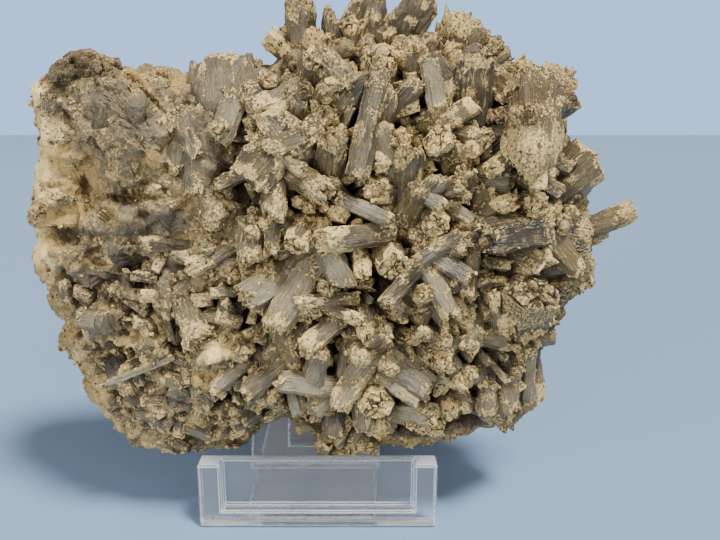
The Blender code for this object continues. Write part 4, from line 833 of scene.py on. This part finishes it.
        (-30.6, 83.2, 2.8, 96, 20, 3.6, 2.8, 6, "ochre"), (-27.4, 84.4, 2.6, 72, 16, 3.4, 2.6, 6, "brown"),
        (-33.8, 80.6, 3.0, 122, 30, 3.2, 2.6, 6, "brown"), (-30.8, 78.0, 3.4, 58, 34, 3.4, 2.8, 6, "ochre"),
        (-27.6, 76.6, 3.4, 102, 30, 3.6, 3.0, 6, "crust"), (-33.4, 74.6, 3.0, 40, 34, 3.2, 2.6, 6, "grey"),
        (-31.2, 62.8, 0.4, 188, 4, 2.8, 2.2, 8, "crust"), (-41.6, 48.6, 0.6, 196, 4, 3.6, 2.6, 9, "fibre"),
        (-33.0, 52.6, 0.6, 172, 4, 3.2, 2.4, 9, "crust"), (-27.0, 24.4, 2, 205, 10, 3.0, 2.4, 9, "fibre"),
        (-21.8, 22.4, 3, 214, 14, 3.6, 2.8, 9, "pale"), (-31.4, 17.0, 2, 240, 12, 3.4, 2.8, 8, "grey"),
        (-23.4, 12.2, 3, 200, 14, 3.0, 2.6, 8, "crust"), (-38.4, 22.0, 2, -70, 14, 4.4, 3.0, 7, "grey"),
    ),
}

crystalShape = {
    "grid": (42, 16, 12),  # points around, rings along the side and rings across the end
    "groove": 0.075,  # depth of the grooves
    "grooveWide": 0.55,
    "shelf": 0.14,  # height of the steps along a face
    "step": 1.45,  # greatest height between the blocks of a broken end
    "slant": 0.42,  # greatest slope of an end
    "chamfer": 0.06,
    "block": 1.9,  # least width of those blocks
    "splinter": 0.7,
    "crustThick": 0.17,
    "crustGrain": 1.0,
    "capCalm": 0.7,  # how much thinner the crust is on a cracked end
    "edgeCrust": 0.40,
    "chip": 0.42,  # depth of the chips along the edges
    "toneShift": -0.16,
    "toneCloud": 0.24,  # how much the tone changes slowly, and how much each face is painted lighter or darker as painted light
    "facetPaintedLight": 0.20,
    "lowPaintedLight": 0.38,  # how much paler, as painted light, and how much less painted shade the crystals low on the piece get
    "lowClear": 0.25,
    "seed": 11,
}


# Unit ways of crystals: turn is the angle in the x-z plane, rise the angle towards the front
def waysOf(turn, rise):
    turn, rise = np.radians(turn), np.radians(rise)
    return np.stack([np.cos(rise) * np.cos(turn), -np.sin(rise), np.cos(rise) * np.sin(turn)], -1)


# Quads between neighbouring rings and a fan at each pole, for many closed shapes of the same grid
def ringFaces(count, rings, around):
    r, a = (g.ravel() for g in np.meshgrid(np.arange(rings - 1), np.arange(around), indexing="ij"))
    b = (a + 1) % around
    quads = np.stack([r * around + a, r * around + b, (r + 1) * around + b, (r + 1) * around + a], -1)
    a = np.arange(around)
    b = (a + 1) % around
    root, tip = rings * around, rings * around + 1
    last = (rings - 1) * around
    rootFan, tipFan = np.stack([0 * a + root, b, a], -1), np.stack([0 * a + tip, last + a, last + b], -1)
    fans = np.concatenate([rootFan, tipFan])
    shift = (np.arange(count) * (rings * around + 2))[:, None, None]
    return (quads + shift).reshape(-1, 4), (fans + shift).reshape(-1, 3)


# Corner UVs in millimetres: round the shape, and along it; each shape has its own stretch of the pattern
def ringUvs(girth, along, around):
    count, rings = along.shape
    r, a = (g.ravel() for g in np.meshgrid(np.arange(rings - 1), np.arange(around), indexing="ij"))
    u = np.stack([a, a + 1, a + 1, a], -1) / around
    rows = np.stack([r, r, r + 1, r + 1], -1)
    own = np.arange(count)[:, None, None] * 17.0
    quadUvs = np.stack([u * girth[:, None, None] + own, along[:, rows]], -1).reshape(-1, 2)
    a = np.arange(around)
    fan = np.stack([a + 0.5, a, a + 1], -1) / around
    fanU = fan * girth[:, None, None] + own
    ends = [np.stack([fanU, 0 * fanU + along[:, edge][:, None, None]], -1) for edge in (0, -1)]
    return np.concatenate([quadUvs, np.concatenate(ends, 1).reshape(-1, 2)])


# Frames for crystals: side lies across the way and the y axis, up completes the three
def framesOf(ways, roll):
    side = np.cross(ways, (0, 1, 0))
    side = np.where(np.linalg.norm(side, axis=-1, keepdims=True) > 0.2, side, (1.0, 0, 0))
    side = unit(side - (side * ways).sum(-1, keepdims=True) * ways)
    up = np.cross(ways, side)
    c, s = np.cos(roll)[:, None], np.sin(roll)[:, None]
    return side * c + up * s, up * c - side * s


# Crystals: a six-cornered ring drawn from root to end, grooved along its length, with an end broken in
# blocks and a crust that swells outwards where its share is high
def makeCrystals(name, ends, ways, wide, flat, long, looks, grid, seed, drawn=True, sharp=38):
    s = crystalShape
    around, sideRings, capRings = grid
    random = np.random.default_rng(seed)
    count = len(ends)
    # One value for each crystal, shaped to meet its rings and its points around
    looks = np.array(looks, float).T[..., None, None]
    tone, warm, crustLong, streak, ragged, bright, rootWide, rise, cap = looks
    width, length = wide[:, None, None], long[:, None, None]
    side, up = framesOf(ways, np.radians(random.uniform(-12, 12, count)))
    side, up, way = side[:, None, None], up[:, None, None], ways[:, None, None]
    angles = np.radians(np.arange(6) * 60.0 + random.uniform(-13, 13, (count, 6)))
    radii = random.uniform(0.88, 1.08, (count, 6)) / math.cos(math.radians(30)) / 2
    corners = np.stack([np.cos(angles) * radii, np.sin(angles) * radii], -1)
    place = np.arange(around) * 6 / around
    first = place.astype(int)
    part = (place - first)[None, :, None]
    outline = corners[:, first] * (1 - part) + corners[:, (first + 1) % 6] * part
    outline *= np.stack([wide, flat], -1)[:, None]
    # Along: 0 at the root, 1 at the end; the cap's rings then shrink towards the pole
    t = np.concatenate([np.linspace(0, 1, sideRings), np.ones(capRings)])
    shrink = np.concatenate([np.ones(sideRings), np.linspace(0.93, 0.16, capRings)])
    slim = shrink * (1 - s["chamfer"] * smoothStep(0.86, 1.0, t)) * (1 + (rootWide[..., 0] - 1) * (1 - t))
    ring = outline[:, None] * slim[:, :, None, None]
    outwards = unit(ring)
    along, shrink = t[None, :, None], shrink[None, :, None]
    capped = np.concatenate([np.zeros(sideRings), np.ones(capRings)])[None, :, None]
    girth = 3.1 * wide
    own = np.arange(count)[:, None, None] * 9.7
    # Grooves follow the girth and hardly change along the length
    alongMm = along * length
    spin = (np.arange(around) / around * 2 * math.pi)[None, None]
    radius = girth[:, None, None] / (2 * math.pi)
    grooveAt = np.stack(np.broadcast_arrays(np.cos(spin) * radius / s["grooveWide"] + own,
                                            np.sin(spin) * radius / s["grooveWide"], alongMm / 6.0), -1)
    groove = layeredNoise(grooveAt, 1.0, seed + 1, 2)
    shelfAt = np.stack(np.broadcast_arrays(np.floor(spin / math.pi * 3) + own, 0 * spin, alongMm / 2.6), -1)
    shelf = np.round(1.4 * smoothNoise(shelfAt, 1.0, seed + 2)) * s["shelf"]
    # Blocks and splinters of the end stand at their own heights
    flatPlace = np.stack([ring[..., 0] + own, ring[..., 1], 0 * ring[..., 0]], -1)
    blockWide = np.maximum(s["block"], width / 3.4)[..., None]
    block, crack = blockNoise(flatPlace / blockWide, 1.0, seed + 3, 0.9)
    splinter, _ = blockNoise(flatPlace, s["splinter"], seed + 4, 1.0)
    tilt = random.uniform(-s["slant"], s["slant"], (count, 1, 1, 2)) * (1 - 0.7 * bright)[..., None]
    rough = ragged * np.minimum(width / 4, 1.0)
    endShift = (s["step"] * (block - 0.3) + 0.75 * splinter) * rough + (ring * tilt).sum(-1)
    endShift = endShift - 0.9 * crack * capped * cap
    endShift = endShift * smoothStep(0.55, 1.0, along)
    endShift = endShift + (rise * width) * (capped * (1 - shrink**2) - 0.5)
    base = ends[:, None, None] + way * (alongMm - length + endShift)[..., None]
    base = base + side * ring[..., :1] + up * ring[..., 1:]
    # Crust covers the end's share of the length, patches, the root, the corners and some of what faces up
    radial = side * outwards[..., :1] + up * outwards[..., 1:]
    edge = layeredNoise(base, 1.9, seed + 5, 3)
    patch = layeredNoise(base, 2.6, seed + 6, 3)
    cover = smoothStep(-0.05, 0.10, along - 1 + crustLong + 0.24 * edge)
    patches = 0.8 * smoothStep(0.36, 0.55, patch) * smoothStep(0.02, 0.06, crustLong)
    upper = 0.7 * np.clip(radial[..., 2], 0, 1) * smoothStep(0.0, 0.5, edge)
    rooted = 0.9 * smoothStep(0.22, 0.04, along + 0.15 * edge)
    toCorner = abs(place - np.round(place))[None, None]
    cornered = s["edgeCrust"] * smoothStep(0.3, 0.0, toCorner) * (edge > -0.25)
    crust = np.maximum.reduce([cover, patches, upper, rooted, cornered])
    crumb, crumbCrack = blockNoise(base, s["crustGrain"], seed + 7)
    swell = s["crustThick"] * (0.5 + 0.6 * ragged) * np.minimum(width / 3.5, 1.25)
    swell = swell * crust * (0.25 + crumb) * (1 - s["capCalm"] * capped * cap)
    cut = (s["groove"] * groove + shelf) * streak * (1 - 0.55 * crust)
    sideways = (swell + cut) * shrink
    chipped = smoothStep(0.05, 0.6, layeredNoise(base, 1.7, seed + 8, 2))
    chip = s["chip"] * smoothStep(0.5, 0.0, toCorner) * chipped
    sideways = sideways - chip * np.minimum(width / 5, 1.2) * shrink
    points = base + radial * sideways[..., None] + way * (swell * capped)[..., None]
    rootPole = points[:, 0].mean(1) - ways * 0.2
    tipPole = points[:, -1].mean(1)
    everyPoint = np.concatenate([points.reshape(count, -1, 3), rootPole[:, None], tipPole[:, None]], 1)
    # Painted shade, the hollow, by the depth behind the face; tone with painted light, paler low on the piece
    # and lighter or darker from side to side of the crystal
    hollow = np.zeros(points.shape[:-1])
    if drawn:
        deep = smoothStep(-2.4, 2.6, points[..., 1] - faceY(points[..., 0], points[..., 2]))
        hollow = np.maximum(deep * (0.4 + 0.6 * smoothStep(0.8, 0.3, along)), 0)
    low = smoothStep(*faceParts["low"], points[..., 2])
    # painted shade also in the crust's cracks, and less of it low on the piece
    hollow = np.maximum(hollow, 0.4 * crumbCrack * crust) * (1 - s["lowClear"] * low)
    # Painted light: each side of a crystal is painted its own lighter or darker tone, as facets catch the
    # light differently
    faceCell = np.stack(np.broadcast_arrays(first[None], np.arange(count)[:, None], 0 * first[None]), -1)
    facetLightShare = hashed(faceCell, seed + 12)[:, None] - 0.5
    tones = tone + s["toneCloud"] * layeredNoise(base, 3.0, seed + 9, 2) + s["facetPaintedLight"] * facetLightShare
    # painted light: crystals low on the piece are painted paler
    tones = tones + s["lowPaintedLight"] * low + s["toneShift"]

    def perPoint(value):
        value = np.broadcast_to(value, points.shape[:-1])
        poles = np.stack([value[:, 0].mean(-1), value[:, -1].mean(-1)], -1)
        return np.concatenate([value.reshape(count, -1), poles], 1).ravel()

    values = {
        "crust": perPoint(crust),
        "hollow": perPoint(hollow),
        "tone": perPoint(tones),
        "warm": perPoint(warm + 0.40 * layeredNoise(base, 4.6, seed + 10, 2)),
        "bright": perPoint(bright * smoothStep(0.2, 0.75, along)),
        "cap": perPoint(capped * cap),
    }
    quads, fans = ringFaces(count, sideRings + capRings, around)
    endMm = long[:, None] + np.linspace(0.4, 1, capRings) * wide[:, None] / 2
    uvs = ringUvs(girth, np.concatenate([np.linspace(0, 1, sideRings) * long[:, None], endMm], 1), around)
    piece = makePiece(name, everyPoint.reshape(-1, 3), [quads, fans], crystalFinish, values, uvs, sharp)
    return points.reshape(-1, 3), crust.ravel()


# Rows to crystals: each end lies its own distance in front of the face, drawn in with its width
def rowsToCrystals(name, rows, grid, seed, sharp=38):
    numbers = np.array([row[:8] for row in rows], float)
    x, z, out, turn, rise, wide, flat, long = numbers.T
    y = faceY(x, z) - out + form["sunk"]
    k = drawShare(y)
    ends = drawIn(np.stack([x, y, z], -1))
    looks = [kinds[row[8]] for row in rows]
    ways = waysOf(turn, rise)
    return makeCrystals(name, ends, ways, wide * k, flat * k, long, looks, grid, seed, sharp=sharp)


# The points and crust of each piece, for the crumbs
crusted = []
for number, (name, rows) in enumerate(crystalRows.items()):
    crusted.append(rowsToCrystals(name, rows, crystalShape["grid"], crystalShape["seed"] + 20 * number))
print("crystals done")

# Small crystals strewn over the crowd: spacing and sizes in millimetres, tilt and rise in degrees
smallCrystals = {
    "count": 400,
    "spacing": 2.7,
    "wide": (1.5, 3.6),
    "long": (6.0, 10.5),
    "tilt": 55.0,
    "out": (0.2, 3.6),
    "leftEdge": -13.0,
    "rightEdge": 70.0,
    "top": 120.0,
    "farthest": 0.97,
    "rise": 66.0,
    "kinds": ("grey", "fibre", "crust", "brown", "pale", "grey", "smooth", "fibre", "ochre", "dark", "tan"),
    "grid": (12, 3, 1),
    "sharp": 24,
    "seed": 71,
}

middleCrystals = {
    "count": 90,
    "spacing": 5.6,
    "wide": (2.4, 5.0),
    "long": (8.0, 13.0),
    "tilt": 60.0,
    "out": (2.0, 5.2),
    "leftEdge": -11.0,
    "rightEdge": 70.0,
    "top": 120.0,
    "farthest": 0.97,
    "rise": 66.0,
    "kinds": ("grey", "fibre", "pale", "crust", "brown", "smooth", "tan", "dark", "grey"),
    "grid": (24, 10, 5),
    "sharp": 36,
    "seed": 73,
}

# Broken bits in the lower left of the matrix
leftBits = {
    "count": 230,
    "spacing": 2.1,
    "wide": (1.4, 3.4),
    "long": (3.4, 6.0),
    "tilt": 90.0,
    "out": (0.3, 2.3),
    "leftEdge": -52.0,
    "rightEdge": -13.0,
    "top": 47.0,
    "farthest": 0.94,
    "rise": 50.0,
    "kinds": ("pale", "crust", "dark", "smooth", "chalk", "cream", "tan", "dark", "brown"),
    "grid": (12, 3, 1),
    "sharp": 24,
    "seed": 76,
}


placing = {"disc": 60.0, "farthest": 0.95, "tries": 30}


# Places in the disc at least a spacing apart, kept from seeded draws
def spacedPlaces(s, random):
    kept = np.zeros((0, 2))
    for _ in range(s["count"] * placing["tries"]):
        angle, share = random.uniform(-math.pi, math.pi), math.sqrt(random.uniform(0.0, placing["farthest"]))
        x = form["centre"][0] + placing["disc"] * share * math.cos(angle)
        z = form["centre"][1] + placing["disc"] * share * math.sin(angle)
        clear = len(kept) == 0 or np.hypot(*(kept - (x, z)).T).min() > s["spacing"]
        inside = s["leftEdge"] < x < s["rightEdge"] and z < s["top"]
        if inside and clear and reach(np.array(x), np.array(z)) < s["farthest"]:
            kept = np.vstack([kept, (x, z)])
        if len(kept) == s["count"]:
            break
    return kept.T


# The angle from the form's centre out to each place, in degrees
def outwardTurn(x, z):
    return np.degrees(np.arctan2(z - form["centre"][1], x - form["centre"][0]))


# Rows of small crystals: they lean outwards, the more so the nearer they are to the rim
def rowsOfSmall(s, random):
    x, z = spacedPlaces(s, random)
    count = len(x)
    turn = outwardTurn(x, z) + random.uniform(-s["tilt"], s["tilt"], count)
    rise = s["rise"] - 50 * reach(x, z) + random.uniform(-30, 22, count)
    wide = random.uniform(*s["wide"], count)
    flat = wide * random.uniform(0.72, 0.95, count)
    long = random.uniform(*s["long"], count)
    out = random.uniform(*s["out"], count)
    words = random.choice(s["kinds"], count)
    return [(*row, word) for row, word in zip(zip(x, z, out, turn, rise, wide, flat, long), words)]


crowds = {"crystalsSmall": smallCrystals, "crystalsBetween": middleCrystals, "bitsLeft": leftBits}
for name, s in crowds.items():
    rows = rowsOfSmall(s, np.random.default_rng(s["seed"]))
    crusted.append(rowsToCrystals(name, rows, s["grid"], s["seed"], s["sharp"]))
print("small crystals done")

# Knobs: x, z, how far the centre stands in front of the face, radius, and crust: bare below 0, full at 1
knobs = (
    (-43.2, 84.0, -1, 4.0, -0.4), (-38.6, 83.6, -1, 2.8, -0.3), (-52.0, 58.2, -1, 2.4, 1),
    (-20.8, 52.6, 2, 2.4, 1), (-19.4, 57.2, 2, 2.2, 1), (-12.6, 54.6, 3, 2.6, 1), (-9.6, 56.4, 3, 2.0, 1),
    (-15.2, 30.8, 2, 2.4, 1), (-17.6, 74.0, 3, 2.0, 1), (-9.4, 20.6, 4, 2.4, 1), (0.6, 10.4, 4, 2.2, 1),
    (4.2, 9.0, 5, 2.2, 1), (10.2, 10.0, 5, 2.2, 1), (6.0, 92.0, 2, 2.0, 1), (11.6, 87.0, 6, 2.8, 1),
    (-0.4, 85.6, 6, 2.8, 1), (2.8, 81.6, 5, 2.2, 1), (12.6, 34.6, 5, 2.2, 1), (20.4, 34.2, 5, 2.4, 1),
    (24.8, 33.0, 5, 2.2, 1), (29.4, 32.2, 4, 2.4, 1), (24.4, 27.6, 4, 3.0, 1), (29.8, 25.8, 3, 2.6, 1),
    (51.2, 48.4, 0, 2.6, 1), (40.6, 59.2, 4, 2.6, 1), (46.4, 56.2, 3, 2.4, 1), (38.4, 80.4, 3, 2.6, 1),
    (14.4, 26.6, 4, 2.4, 1), (8.2, 29.6, 5, 3.0, 1),
)

stubs = {
    "each": 4,
    "spread": 0.6,
    "wide": (0.75, 1.2),
    "long": 1.9,  # length against the knob's radius
    "kinds": ("crust", "crust", "cream", "ochre", "brown"),
    "grid": (20, 9, 5),
    "seed": 171,
}


# Short crusted crystals that make up each knob
def rowsOfStubs(s, random):
    rows = []
    for x, z, out, radius, _ in knobs:
        if x > form["crowdLeft"]:
            for _ in range(s["each"]):
                dx, dz = random.uniform(-1, 1, 2) * s["spread"] * radius
                wide = radius * random.uniform(*s["wide"])
                turn = math.degrees(math.atan2(dz, dx)) + random.uniform(-50, 50)
                rise = random.uniform(15, 80)
                word = random.choice(s["kinds"])
                rows.append((x + dx, z + dz, out + random.uniform(-0.4, 1.0) * radius, turn, rise, wide,
                             wide * random.uniform(0.75, 0.95), radius * s["long"], word))
    return rows


rows = rowsOfStubs(stubs, np.random.default_rng(stubs["seed"]))
crusted.append(rowsToCrystals("crystalsStubby", rows, stubs["grid"], stubs["seed"]))

backCrystals = {
    "count": 120,
    "spacing": 4.2,
    "wide": (1.8, 5.6),
    "long": (7.0, 14.0),
    "tilt": 60.0,
    "out": (-0.6, 2.8),
    "leftEdge": -60.0,
    "rightEdge": 70.0,
    "top": 120.0,
    "farthest": 0.92,
    "rootLong": 11.0,  # how far back a root has to be inside the rim
    "kinds": ("crust", "brown", "fibre", "grey", "ochre"),
    "grid": (24, 10, 4),
    "seed": 91,
}


# The back's crystals lean out from the centre and to the rear, clear of the stand's fork
def makeBackCrystals():
    s = backCrystals
    random = np.random.default_rng(s["seed"])
    x, z = spacedPlaces(s, random)
    free = (z > 24) | (abs(x) > 26)
    forkClear = (z > 62) | (abs(x + 1.4) > 18)
    x, z = x[free & forkClear], z[free & forkClear]
    turn = outwardTurn(x, z) + random.uniform(-s["tilt"], s["tilt"], len(x))
    rootAt = np.stack([x, z], -1) - s["rootLong"] * waysOf(turn, 0 * turn)[:, ::2]
    inside = reach(rootAt[:, 0], rootAt[:, 1]) < s["farthest"] - 0.02
    x, z, turn = x[inside], z[inside], turn[inside]
    count = len(x)
    share = reach(x, z)
    rise = -46 + 36 * share + random.uniform(-30, 16, count)
    wide = random.uniform(*s["wide"], count)
    flat = wide * random.uniform(0.75, 0.95, count)
    long = random.uniform(*s["long"], count)
    y = form["middleY"] + backDepth(z) * dome(share) + random.uniform(*s["out"], count)
    looks = [kinds[word] for word in random.choice(s["kinds"], count)]
    makeCrystals("crystalsBack", np.stack([x, y, z], -1), waysOf(turn, rise), wide, flat, long, looks,
                 s["grid"], s["seed"], drawn=False)


makeBackCrystals()
print("back crystals done")

knobShape = {
    "grid": (34, 20),  # points around and rings
    "lump": 2.2,
    "lumpHeight": 1.5,
    "shrunk": (0.9, 0.6),  # radius against the row's, on the left and in the crowd
    "sharp": 45,
    "seed": 131,
}


# Balls: radius times (sin, cos) of the half-turn from pole to pole, swollen by cell and smooth noise
def makeBalls(name, centres, radii, stretch, s, values):
    count = len(centres)
    around, rings = s["grid"]
    lump = s["lump"]
    random = np.random.default_rng(s["seed"])
    angle = np.linspace(0, math.pi, rings + 2)[1:-1][None, :, None]
    spin = (np.arange(around) / around * 2 * math.pi)[None, None]
    wholeRings = np.stack(np.broadcast_arrays(np.sin(angle) * np.cos(spin), np.sin(angle) * np.sin(spin),
                                              -np.cos(angle) + 0 * spin), -1)
    way = unit(random.normal(size=(count, 3)))
    side, up = framesOf(way, random.uniform(0, 6.28, count))
    local = np.broadcast_to(wholeRings, (count, rings, around, 3)) * stretch[:, None, None]
    ball = side[:, None, None] * local[..., :1] + up[:, None, None] * local[..., 1:2]
    ball = ball + way[:, None, None] * local[..., 2:]
    poles = np.stack([-way, way], 1) * stretch[:, None, 2:]
    ball = np.concatenate([ball.reshape(count, -1, 3), poles], 1) * radii[:, None, None]
    at = ball + centres[:, None]
    block, crack = blockNoise(at, lump, s["seed"])
    fine, _ = blockNoise(at, lump * 0.45, s["seed"] + 4)
    swell = s["lumpHeight"] * (block + 0.35 * fine + 0.4 * layeredNoise(at, lump * 1.6, s["seed"] + 9, 2))
    points = at + unit(ball) * (swell * np.minimum(radii[:, None], lump * 2) / (lump * 2))[..., None]
    faces = ringFaces(count, rings, around)
    uvs = ringUvs(2 * math.pi * radii, angle[..., 0] * radii[:, None], around)
    given = {label: np.repeat(value, points.shape[1]) for label, value in values.items()}
    # painted shade in the cracks between the lumps
    given["hollow"] = 0.6 * crack.ravel()
    piece = makePiece(name, points.reshape(-1, 3), faces, crystalFinish, given, uvs, s["sharp"])


# Knobs: large balls of crust where the rows say
def makeKnobs():
    s = knobShape
    random = np.random.default_rng(s["seed"])
    x, z, out, radius, crust = np.array(knobs, float).T
    y = faceY(x, z) - out
    centres = drawIn(np.stack([x, y, z], -1))
    count = len(x)
    radius = radius * np.where(x > form["crowdLeft"], s["shrunk"][1], s["shrunk"][0])
    values = {"crust": crust, "tone": np.full(count, 0.2), "warm": np.full(count, 0.8),
              "bright": random.uniform(0.0, 0.6, count) * crust}
    makeBalls("knobs", centres, radius, random.uniform(0.75, 1.15, (count, 3)), s, values)


makeKnobs()
print("knobs done")

crumbShape = {
    "onMatrix": 1000,
    "onCrystals": 1000,
    "radius": (0.22, 0.8),
    "keptRight": 0.2,  # share of the places kept to the right of the middle, and above highFrom
    "keptHigh": 0.4,
    "highFrom": 46.0,
    "fewLarge": 2.6,  # the power that makes most of them small
    "grid": (7, 4),
    "lump": 0.8,
    "lumpHeight": 0.9,
    "sharp": 22,
    "seed": 151,
}


# Crumbs: little clods on the matrix's left and on the crusted parts of the crystals
def makeCrumbs():
    s = crumbShape
    random = np.random.default_rng(s["seed"])
    ground = matrixFront[4:-4, 4:-4].reshape(-1, 3)
    ground = ground[(ground[:, 0] < 0) | (random.random(len(ground)) < s["keptRight"])]
    ground = ground[(ground[:, 2] < s["highFrom"]) | (random.random(len(ground)) < s["keptHigh"])]
    onMatrix = ground[random.choice(len(ground), s["onMatrix"], replace=False)]
    everywhere = np.concatenate([points for points, _ in crusted])
    cover = np.concatenate([crust for _, crust in crusted])
    shown = everywhere[(cover > 0.7) & (everywhere[:, 1] < faceY(everywhere[:, 0], everywhere[:, 2]) + 2)]
    onCrystals = shown[random.choice(len(shown), s["onCrystals"], replace=False)]
    for name, places in (("crumbsMatrix", onMatrix), ("crumbsCrystals", onCrystals)):
        count = len(places)
        least, most = s["radius"]
        radii = least + (most - least) * random.random(count) ** s["fewLarge"]
        values = {"crust": np.ones(count), "tone": np.full(count, 0.5), "warm": np.full(count, 0.4),
                  "bright": random.random(count) ** 2}
        makeBalls(name, places, radii, random.uniform(0.55, 1.2, (count, 3)), s, values)


makeCrumbs()
print("crumbs done")

acrylicEdge = {
    "width": 0.45,
    "segments": 2,
    "angle": 30.0,
    "topShare": 0.8,  # ends that face up above this share of a piece's height are left as cut
}


# The stand: the frame's pieces merged, with their cut edges broken by a small frosted bevel
def makeStand(node):
    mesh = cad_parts[node].data.copy()
    work = bmesh.new()
    work.from_mesh(mesh)
    bmesh.ops.remove_doubles(work, verts=work.verts, dist=0.01 * mm)
    bmesh.ops.dissolve_limit(work, angle_limit=math.radians(1.0), verts=work.verts, edges=work.edges)
    work.to_mesh(mesh)
    work.free()
    mesh.materials.clear()
    for finish in (acrylicFinish, acrylicEdgeFinish):
        mesh.materials.append(finish)
    # The highest ends of a plate are left as cut
    broad = max(mesh.polygons, key=lambda face: face.area).normal.copy()
    top = acrylicEdge["topShare"] * max(vertex.co.z for vertex in mesh.vertices)
    for face in mesh.polygons:
        asCut = face.normal.z > 0.8 and face.center.z > top and abs(face.normal.dot(broad)) < 0.95
        face.material_index = int(asCut)
    piece = bpy.data.objects.new(node + "Clear", mesh)
    bpy.context.scene.collection.objects.link(piece)
    bevel = piece.modifiers.new("brokenEdges", "BEVEL")
    bevel.width = acrylicEdge["width"] * mm
    bevel.segments = acrylicEdge["segments"]
    bevel.limit_method = "ANGLE"
    bevel.angle_limit = math.radians(acrylicEdge["angle"])
    bevel.material = 1
    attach(piece, "root")
    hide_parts(node)


for node in ("stand_front", "stand_base", "stand_back"):
    makeStand(node)
print("stand done")

studio = {
    "floor": (0.188, 0.281, 0.421),
    "backdrop": (0.58, 0.88, 1.40),  # the colour seen behind the floor
    "fill": (0.97, 0.90, 0.82),
    "fillStrength": 0.24,
    "floorWide": 3.0,
    "floorRear": 0.755,
    "floorHeight": -0.0002,
    "floorRough": 0.6,
    "camera": (0.008, -0.1596, 0.0868),
    "tilt": 75.0,
    "lens": 40.0,
    "sensor": 36.0,
}


# The stage: a pale floor, and a backdrop that only the camera sees
def makeStage():
    half, rear = studio["floorWide"] / 2, studio["floorRear"]
    low = studio["floorHeight"]
    corners = [(-half, -half, low), (half, -half, low), (half, rear, low), (-half, rear, low)]
    mesh = bpy.data.meshes.new("floor")
    mesh.from_pydata(corners, [], [(0, 1, 2, 3)])
    floor = bpy.data.objects.new("floor", mesh)
    bpy.context.scene.collection.objects.link(floor)
    finish, tree, shader = newMaterial("paleFloor")
    shader.inputs["Base Color"].default_value = (*studio["floor"], 1)
    shader.inputs["Roughness"].default_value = studio["floorRough"]
    mesh.materials.append(finish)
    world = bpy.data.worlds.new("studio")
    world.use_nodes = True
    tree = world.node_tree
    fill = tree.nodes["Background"]
    fill.inputs["Color"].default_value = (*studio["fill"], 1)
    fill.inputs["Strength"].default_value = studio["fillStrength"]
    seen = addNode(tree, "ShaderNodeBackground", {"Color": (*studio["backdrop"], 1), "Strength": 1.0})
    direct = addNode(tree, "ShaderNodeLightPath").outputs["Is Camera Ray"]
    both = addNode(tree, "ShaderNodeMixShader", {0: direct, 1: fill.outputs[0], 2: seen.outputs[0]})
    tree.links.new(both.outputs[0], tree.nodes["World Output"].inputs["Surface"])
    bpy.context.scene.world = world


# Soft lamps. A row: name, kind, place, what it looks at, width (metres, or degrees for the sun) and power
lamps = (
    ("keyLamp", "SUN", (0.27, -0.25, 0.76), (0.0, 0.0, 0.0), 14.0, 6.3),
    ("frontLamp", "SUN", (0.40, -0.72, 0.46), (0.0, 0.0, 0.0), 34.0, 0.7),
    ("leftLamp", "AREA", (-0.30, -0.48, 0.16), (-0.01, -0.01, 0.03), 0.45, 3.5),
    ("backLamp", "AREA", (-0.10, 0.45, 0.42), (0.0, 0.0, 0.05), 0.80, 0.4),
)


def makeLamps():
    for name, kind, place, target, wide, power in lamps:
        light = bpy.data.lights.new(name, kind)
        if kind == "SUN":
            light.angle = math.radians(wide)
        else:
            light.size = wide
        light.energy = power
        lamp = bpy.data.objects.new(name, light)
        bpy.context.scene.collection.objects.link(lamp)
        away = np.array(place) - target
        flat = math.hypot(away[0], away[1])
        lamp.location = place
        lamp.rotation_euler = (math.atan2(flat, away[2]), 0, math.atan2(away[0], -away[1]))


def makeCamera():
    lens = bpy.data.cameras.new("photoCamera")
    lens.lens = studio["lens"]
    lens.sensor_width = studio["sensor"]
    lens.clip_start = 0.005
    camera = bpy.data.objects.new("photoCamera", lens)
    bpy.context.scene.collection.objects.link(camera)
    camera.location = studio["camera"]
    camera.rotation_euler = (math.radians(studio["tilt"]), 0, 0)
    bpy.context.scene.camera = camera


makeStage()
makeLamps()
makeCamera()
print("studio done")
